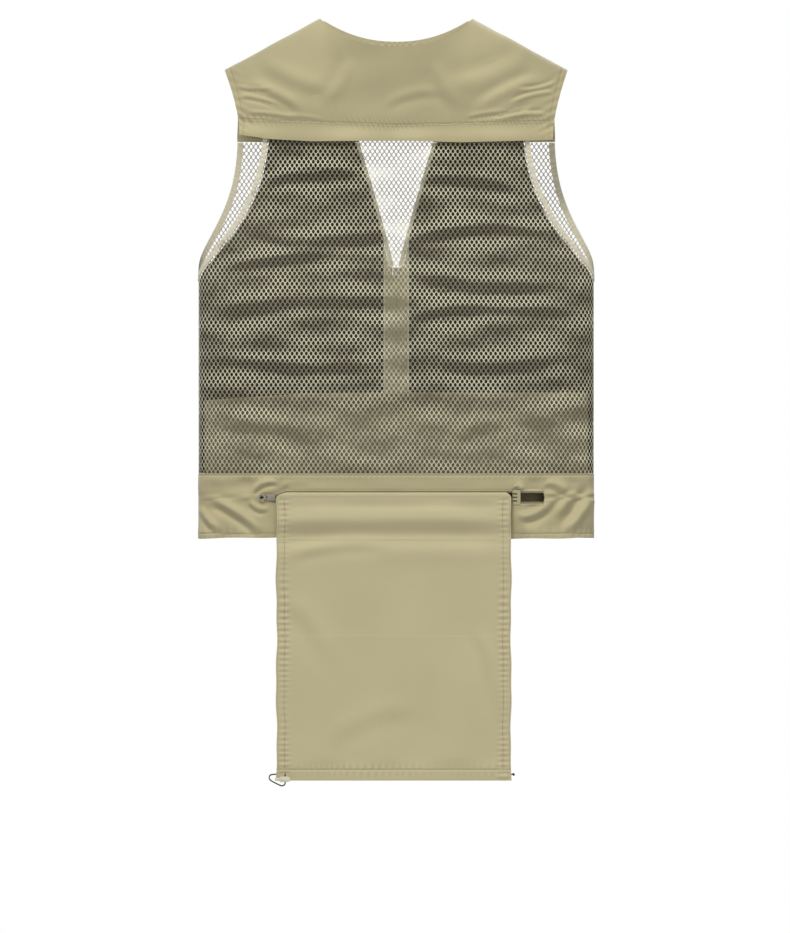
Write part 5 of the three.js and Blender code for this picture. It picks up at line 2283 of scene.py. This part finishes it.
@dataclass
class Front:
    """One front of the vest."""

    cut: Cut
    hand: Hand

    def _strip(
        self, name: str, surface: Surface, a: Array, b: Array, finish: ClothFinish, node: str,
        thickness: float | Callable[[Array, Array], Array],
    ) -> bpy.types.Object:
        """Makes one sheet that rides on this front.

        Args:
            name: the piece's name.
            surface: its middle.
            a: grid lines across.
            b: grid lines up.
            finish: what it is made of.
            node: what it stands for, or nothing.
            thickness: of the cloth.

        Returns:
            The piece.
        """
        sheet = Cloth(name, surface, a, b, (0, 1, 0), finish, thickness, 2 * MM)
        piece = sheet.build()
        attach(piece, self.hand.body)
        if node:
            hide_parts(node)
        return piece

    def yoke(self) -> None:
        """The front yoke and its stitching."""
        form, cut, hand = self.cut.form, self.cut, self.hand.value

        def surface(a: Array, b: Array) -> Array:
            """The yoke's middle.

            Args:
                a: from 0 at the neck to 1 at the armhole.
                b: from 0 at its seam to 1 at the shoulder.

            Returns:
                Points.
            """
            fall = np.maximum(1 - b, 0) ** 1.25
            tip = float(form.ridge(form.tip_half))
            inner_z, outer_z = mix(0.0, cut.front_seam, fall), mix(tip, cut.front_seam, fall)
            outer = np.where(b >= 1 - 1e-6, form.tip_half, cut.front_yoke_half(outer_z))
            x = mix(cut.v_half(inner_z), outer, a)
            z = mix(
                form.ridge(mix(form.neck_half, form.tip_half, a)), cut.front_seam + 0.3 * MM, fall
            )
            lift = 2.1 * MM + rumple(x, z, 60 * MM, 0.6 * MM, 71)
            lift = lift + pucker(x, z - cut.front_seam - 5 * MM, 8 * MM, 0.3 * MM, 6 * MM, 72)
            return form.point(Side.FRONT, hand * x, z, lift)

        sheet = Cloth(
            f"front_yoke_{self.hand.word}_cloth", surface, np.linspace(0, 1, 60),
            np.linspace(0, 1, 90), (0, 1, 0), NYLON, 0.9 * MM
        )
        piece = sheet.build()
        rows = SmallShapes.empty()
        s = np.linspace(0.015, 0.985, 220)
        for b in (0.018, 0.034):
            stitch_row(rows, *line_on(surface, s, np.full_like(s, b), (0, 1, 0), 0.5 * MM))
        for a in (0.035, 0.965):
            stitch_row(rows, *line_on(surface, np.full_like(s, a), s, (0, 1, 0), 0.5 * MM))
        sewn = rows.build(f"front_yoke_{self.hand.word}_stitching", THREAD)
        for part in (piece, sewn):
            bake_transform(part)
        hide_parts(f"front_yoke_{self.hand.word}")
        log.info("front yoke, %s", self.hand.word)

    def _front_lift(self, x: Array, z: Array) -> Array:
        """Soft undulation of the front, still near its seams.

        Args:
            x: places across.
            z: heights.

        Returns:
            Lift at each place.
        """
        calm = (
            smooth((z - self.cut.hem_seam) / (30 * MM))
            * smooth((self.cut.front_seam - z) / (30 * MM))
        )
        away = (
            smooth((np.abs(x) - 20 * MM) / (25 * MM))
            * smooth((self.cut.form.half_width - np.abs(x)) / (15 * MM))
        )
        return rumple(x, z, 80 * MM, 0.35 * MM, 81 + self.hand.value, 1.6) * calm * away

    def net(self, trims: Sequence[bpy.types.Object]) -> None:
        """Makes the net, and the near-black lining of painted shade that backs it up to the
        armhole.

        Args:
            trims: narrow pieces sewn to the net; not used.
        """
        form, cut, hand = self.cut.form, self.cut, self.hand.value

        def surface(girth: Array, z: Array) -> Array:
            """The net's middle."""
            x = form.x_at(np.clip(girth, 0, form.side_girth))
            return form.point(Side.FRONT, hand * x, z, self._front_lift(x, z))

        def inner(z: Array) -> Array:
            """Least girth at a height."""
            return form.girth_at(np.maximum(cut.v_half(z) + 5 * MM, cut.placket_outer + 0.3 * MM))

        def outer(z: Array) -> Array:
            """Greatest girth at a height."""
            return cut.armhole_girth(Side.FRONT, z, 4 * MM)

        def shade(girth: Array, z: Array) -> Array:
            """Painted shade: darker at the outer edge, below the armhole's top."""
            return -0.3 * smooth((girth - 0.17) / 0.04) * (z > -0.35)

        net = Net(
            f"front_net_{self.hand.word}", surface, inner, outer, cut.hem_seam + 0.3 * MM,
            cut.front_seam - 0.3 * MM, (0, 1, 0), shade=shade
        )
        piece, area = net.build()
        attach(piece, self.hand.body)
        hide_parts(f"front_net_panel_{self.hand.word}")

        def lined(a: Array, b: Array) -> Array:
            """The lining's middle.

            Args:
                a: from 0 at the zip to 1 at the armhole.
                b: from 0 at the hem to 1 at its top.

            Returns:
                Points.
            """
            z = mix(cut.hem_seam, cut.front_seam + 7 * MM, b)
            reach = np.minimum(cut.armhole_girth(Side.BACK, z, 6 * MM), form.side_girth - 0.6 * MM)
            girth = mix(inner(z), reach, a)
            x = form.x_at(girth)
            return form.point(Side.FRONT, hand * x, z, self._front_lift(x, z) - 1.0 * MM)

        self._strip(
            f"front_lining_{self.hand.word}", lined, np.linspace(0, 1, 70), np.linspace(0, 1, 90),
            SHADE_LINING, "", 0.4 * MM
        )
        log.info("front net, %s, %d faces", self.hand.word, len(piece.data.polygons))

    def edges(self) -> bpy.types.Object:
        """Makes the V neck's binding, the placket and the hem.

        Returns:
            The binding, which trims the net.
        """
        form, cut, hand, word = self.cut.form, self.cut, self.hand.value, self.hand.word

        def binding(a: Array, b: Array) -> Array:
            """The binding's middle.

            Args:
                a: from 0 to 1 across it.
                b: from 0 to 1 up it.

            Returns:
                Points.
            """
            z = mix(cut.v_tip + 0.5 * MM, cut.front_seam - 0.6 * MM, b)
            slope = (cut.v_half(z + MM) - cut.v_half(z - MM)) / (2 * MM)
            return form.point(
                Side.FRONT, hand * (cut.v_half(z) + 6 * MM * np.hypot(1, slope) * a), z, 0.0
            )

        def round_edge(a: Array, b: Array) -> Array:
            """Thickness, rounded across the binding."""
            return (0.9 + 1.5 * np.sqrt(np.maximum(1 - (2 * a - 1) ** 2, 0))) * MM

        trim = self._strip(
            f"front_neck_binding_{word}_tape", binding, np.linspace(0, 1, 7),
            np.linspace(0, 1, 90), BINDING, f"front_neck_binding_{word}",
            round_edge
        )

        def placket(a: Array, b: Array) -> Array:
            """The placket's middle.

            Args:
                a: from 0 to 1 away from the zip.
                b: from 0 to 1 up it.

            Returns:
                Points.
            """
            z = mix(cut.hem_bottom + 0.5 * MM, -307 * MM, b)
            inner = np.clip(
                cut.v_half(z) + 6.8 * MM, cut.placket_inner, cut.placket_outer - 0.3 * MM
            )
            inner = np.where(z < cut.v_tip, cut.placket_inner, inner)
            x = mix(inner, cut.placket_outer, a)
            return form.point(
                Side.FRONT, hand * x, z, 0.2 * MM * np.sin(z / (5 * MM)) * np.sin(math.pi * a)
            )

        self._strip(
            f"front_placket_{word}_cloth", placket, np.linspace(0, 1, 9), np.linspace(0, 1, 260),
            NYLON, f"front_placket_{word}", 1.2 * MM
        )

        def hem(girth: Array, b: Array) -> Array:
            """The hem's middle.

            Args:
                girth: places round the body.
                b: from 0 at its foot to 1 at the net.

            Returns:
                Points.
            """
            x = form.x_at(girth)
            z = mix(cut.hem_bottom + 0.8 * MM, cut.hem_seam - 0.2 * MM, b)
            calm = (
                smooth(b / 0.2) * smooth((1 - b) / 0.2)
                * smooth((form.side_girth - girth) / (15 * MM))
            )
            lift = rumple(x, z, 50 * MM, 0.6 * MM, 91) * calm
            lift = lift + pucker(girth, z - cut.hem_bottom - 7 * MM, 10 * MM, 0.3 * MM, 6 * MM, 92)
            return form.point(Side.FRONT, hand * x, z, np.clip(lift, -0.9 * MM, 0.9 * MM))

        start = float(form.girth_at(cut.placket_outer + 0.4 * MM))
        self._strip(
            f"front_hem_{word}", hem, graded(start, form.side_girth, 2 * MM, 3 * MM, 20 * MM),
            np.linspace(0, 1, 44), NYLON, f"front_hem_panel_{word}", 1.1 * MM,
        )
        rows = SmallShapes.empty()
        girth = np.linspace(start + 1 * MM, form.side_girth - 2 * MM, 350)
        for share in (7 / 89, 1 - 3 / 89):
            stitch_row(rows, *line_on(hem, girth, np.full_like(girth, share), (0, 1, 0), 0.6 * MM))
        s = np.linspace(0.01, 0.93, 420)
        stitch_row(rows, *line_on(placket, np.full_like(s, 0.8), s, (0, 1, 0), 0.65 * MM))
        sewn = rows.build(f"front_edge_stitching_{word}", THREAD)
        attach(sewn, self.hand.body)
        log.info("front edges, %s", word)
        return trim

    def zip_half(self) -> None:
        """This front's zip tape and teeth."""
        low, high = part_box(f"front_zip_half_{self.hand.word}")
        depth = self.cut.form.half_depth
        hand = self.hand.value

        def tape(a: Array, b: Array) -> Array:
            """The tape's middle."""
            x = mix(0.15 * MM, 13.4 * MM, a) * hand
            return np.stack([x, depth - 1.9 * MM + 0 * x, b + 0 * x], axis=-1)

        node = f"front_zip_half_{self.hand.word}"
        piece = self._strip(
            f"{node}_tape", tape, np.linspace(0, 1, 7), np.linspace(low.z, high.z, 180), TAPE,
            node, 0.7 * MM
        )
        row = SmallShapes.empty()
        step = 0.75 * MM if self.hand is Hand.LEFT else 0.0
        start = math.ceil(low.z / (1.5 * MM)) * 1.5 * MM + step
        z = np.arange(start, high.z - 1 * MM, 1.5 * MM)
        spine = np.stack(
            [np.full_like(z, 2.3 * MM * hand), np.full_like(z, depth - 0.6 * MM), z], axis=-1
        )
        inward = np.tile([-float(hand), 0.0, 0.0], (len(z), 1))
        outward = np.tile([0.0, 1.0, 0.0], (len(z), 1))
        teeth(row, spine, inward, outward, 2.5 * MM, 1.5 * MM)
        coil = row.build(f"{node}_teeth", COIL)
        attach(coil, self.hand.body)
        log.info("front zip %s", piece.name)

    def pockets(self) -> None:
        """The chest and lower pockets."""
        Pocket(
            self.cut, self.hand, "chest", 58 * MM, 168 * MM, -225 * MM, -350 * MM, 10 * MM,
            20 * MM, 25 * MM, -205 * MM, 45 * MM
        ).build()
        Pocket(
            self.cut, self.hand, "lower", 40 * MM, 210 * MM, -430 * MM, -640 * MM, 24 * MM,
            24 * MM, 30 * MM, -410 * MM, 62 * MM
        ).build()

    def build(self) -> None:
        """Makes the whole front."""
        self.yoke()
        binding = self.edges()
        self.net([binding, *ArmholeBinding(self.cut, Side.FRONT, self.hand, 8 * MM).build()])
        self.zip_half()
        self.pockets()


# ------------------------------------------------------------------ studio


@dataclass
class Studio:
    """Floor, lights and camera."""

    middle: tuple[float, float] = (-1.6 * MM, -607 * MM)
    view_height: float = 1.269
    distance: float = 9.0
    floor_z: float = -1.75
    ambient: float = 0.36

    def _plain(self, name: str, colour: float) -> bpy.types.Material:
        """A pale matt paint.

        Args:
            name: the paint's name.
            colour: how light it is.

        Returns:
            The material.
        """
        material = bpy.data.materials.new(name)
        material.use_nodes = True
        shader = material.node_tree.nodes["Principled BSDF"]
        shader.inputs["Base Color"].default_value = (colour, colour, colour, 1)
        shader.inputs["Roughness"].default_value = 0.9
        shader.inputs["Specular IOR Level"].default_value = 0.1
        return material

    def _plane(
        self, name: str, corners: Sequence[tuple[float, float, float]],
        material: bpy.types.Material
    ) -> bpy.types.Object:
        """A flat plane that isn't part of the vest.

        Args:
            name: the plane's name.
            corners: its four corners.
            material: its paint.

        Returns:
            The plane.
        """
        mesh = bpy.data.meshes.new(name)
        mesh.from_pydata([Vector(c) for c in corners], [], [(0, 1, 2, 3)])
        mesh.materials.append(material)
        plane = bpy.data.objects.new(name, mesh)
        bpy.context.scene.collection.objects.link(plane)
        return plane

    def _light(
        self, name: str, place: tuple[float, float, float], size: float, power: float
    ) -> None:
        """A soft area light that looks at the vest.

        Args:
            name: the light's name.
            place: where it stands.
            size: its width.
            power: in watts.
        """
        data = bpy.data.lights.new(name, "AREA")
        data.size = size
        data.energy = power
        light = bpy.data.objects.new(name, data)
        light.location = place
        aim = Vector((0, 0, self.middle[1])) - light.location
        light.rotation_euler = aim.to_track_quat("-Z", "Y").to_euler()
        bpy.context.scene.collection.objects.link(light)

    def camera(self) -> None:
        """The camera looks straight at the back."""
        data = bpy.data.cameras.new("camera")
        data.sensor_fit = "VERTICAL"
        data.sensor_height = 24
        data.sensor_width = 24
        data.lens = 24 * self.distance / self.view_height
        data.clip_end = 60
        camera = bpy.data.objects.new("camera", data)
        camera.location = (self.middle[0], -self.distance, self.middle[1])
        camera.rotation_euler = (math.pi / 2, 0, 0)
        bpy.context.scene.collection.objects.link(camera)
        bpy.context.scene.camera = camera

    def build(self) -> None:
        """Makes the studio."""
        self.camera()
        w = 2.2
        floor = self._plain("pale floor", 0.93)
        self._plane(
            "floor",
            [
                (-w, -w, self.floor_z), (w, -w, self.floor_z), (w, w, self.floor_z),
                (-w, w, self.floor_z)
            ],
            floor
        )
        self._light("key", (-1.1, -2.9, 3.1), 1.1, 108)
        self._light("fill", (2.2, -3.2, 0.3), 2.4, 22)
        self._light("front key", (0.9, 3.1, 2.6), 1.3, 84)
        self._light("front fill", (-2.2, 2.8, 0.1), 2.4, 22)
        world = bpy.data.worlds.new("pale room")
        world.use_nodes = True
        nodes = Nodes(world.node_tree)
        background = world.node_tree.nodes["Background"]
        background.inputs[0].default_value = (1, 1, 1, 1)
        seen = nodes.add("ShaderNodeLightPath").outputs["Is Camera Ray"]
        nodes.feed(background.inputs[1], nodes.ramp(seen, 0.0, 1.0, self.ambient, 1.0))
        bpy.context.scene.world = world
        bpy.context.scene.view_settings.view_transform = "Standard"
        log.info("studio")


def main() -> None:
    """Builds the vest and the studio."""
    logging.basicConfig(level=logging.INFO, format="%(name)s: %(message)s")
    Studio().build()
    cut = Cut(BodyForm.from_frame())
    Yoke(cut).build(NeckBinding(cut).build())
    armholes = [
        piece for hand in Hand for piece in ArmholeBinding(cut, Side.BACK, hand, 6 * MM).build()
    ]
    BackNet(cut).build(armholes)
    hem = BackHem(cut)
    hem.build(BackZip(cut, hem).build())
    PocketBag(cut).build()
    HangingPanel.from_frame().build()
    for hand in Hand:
        Front(cut, hand).build()
    for node in ("front_zip_slider", "front_zip_pull"):
        dress_fitting(node, PLATED, 0.35 * MM)


if __name__ == "__main__":
    main()
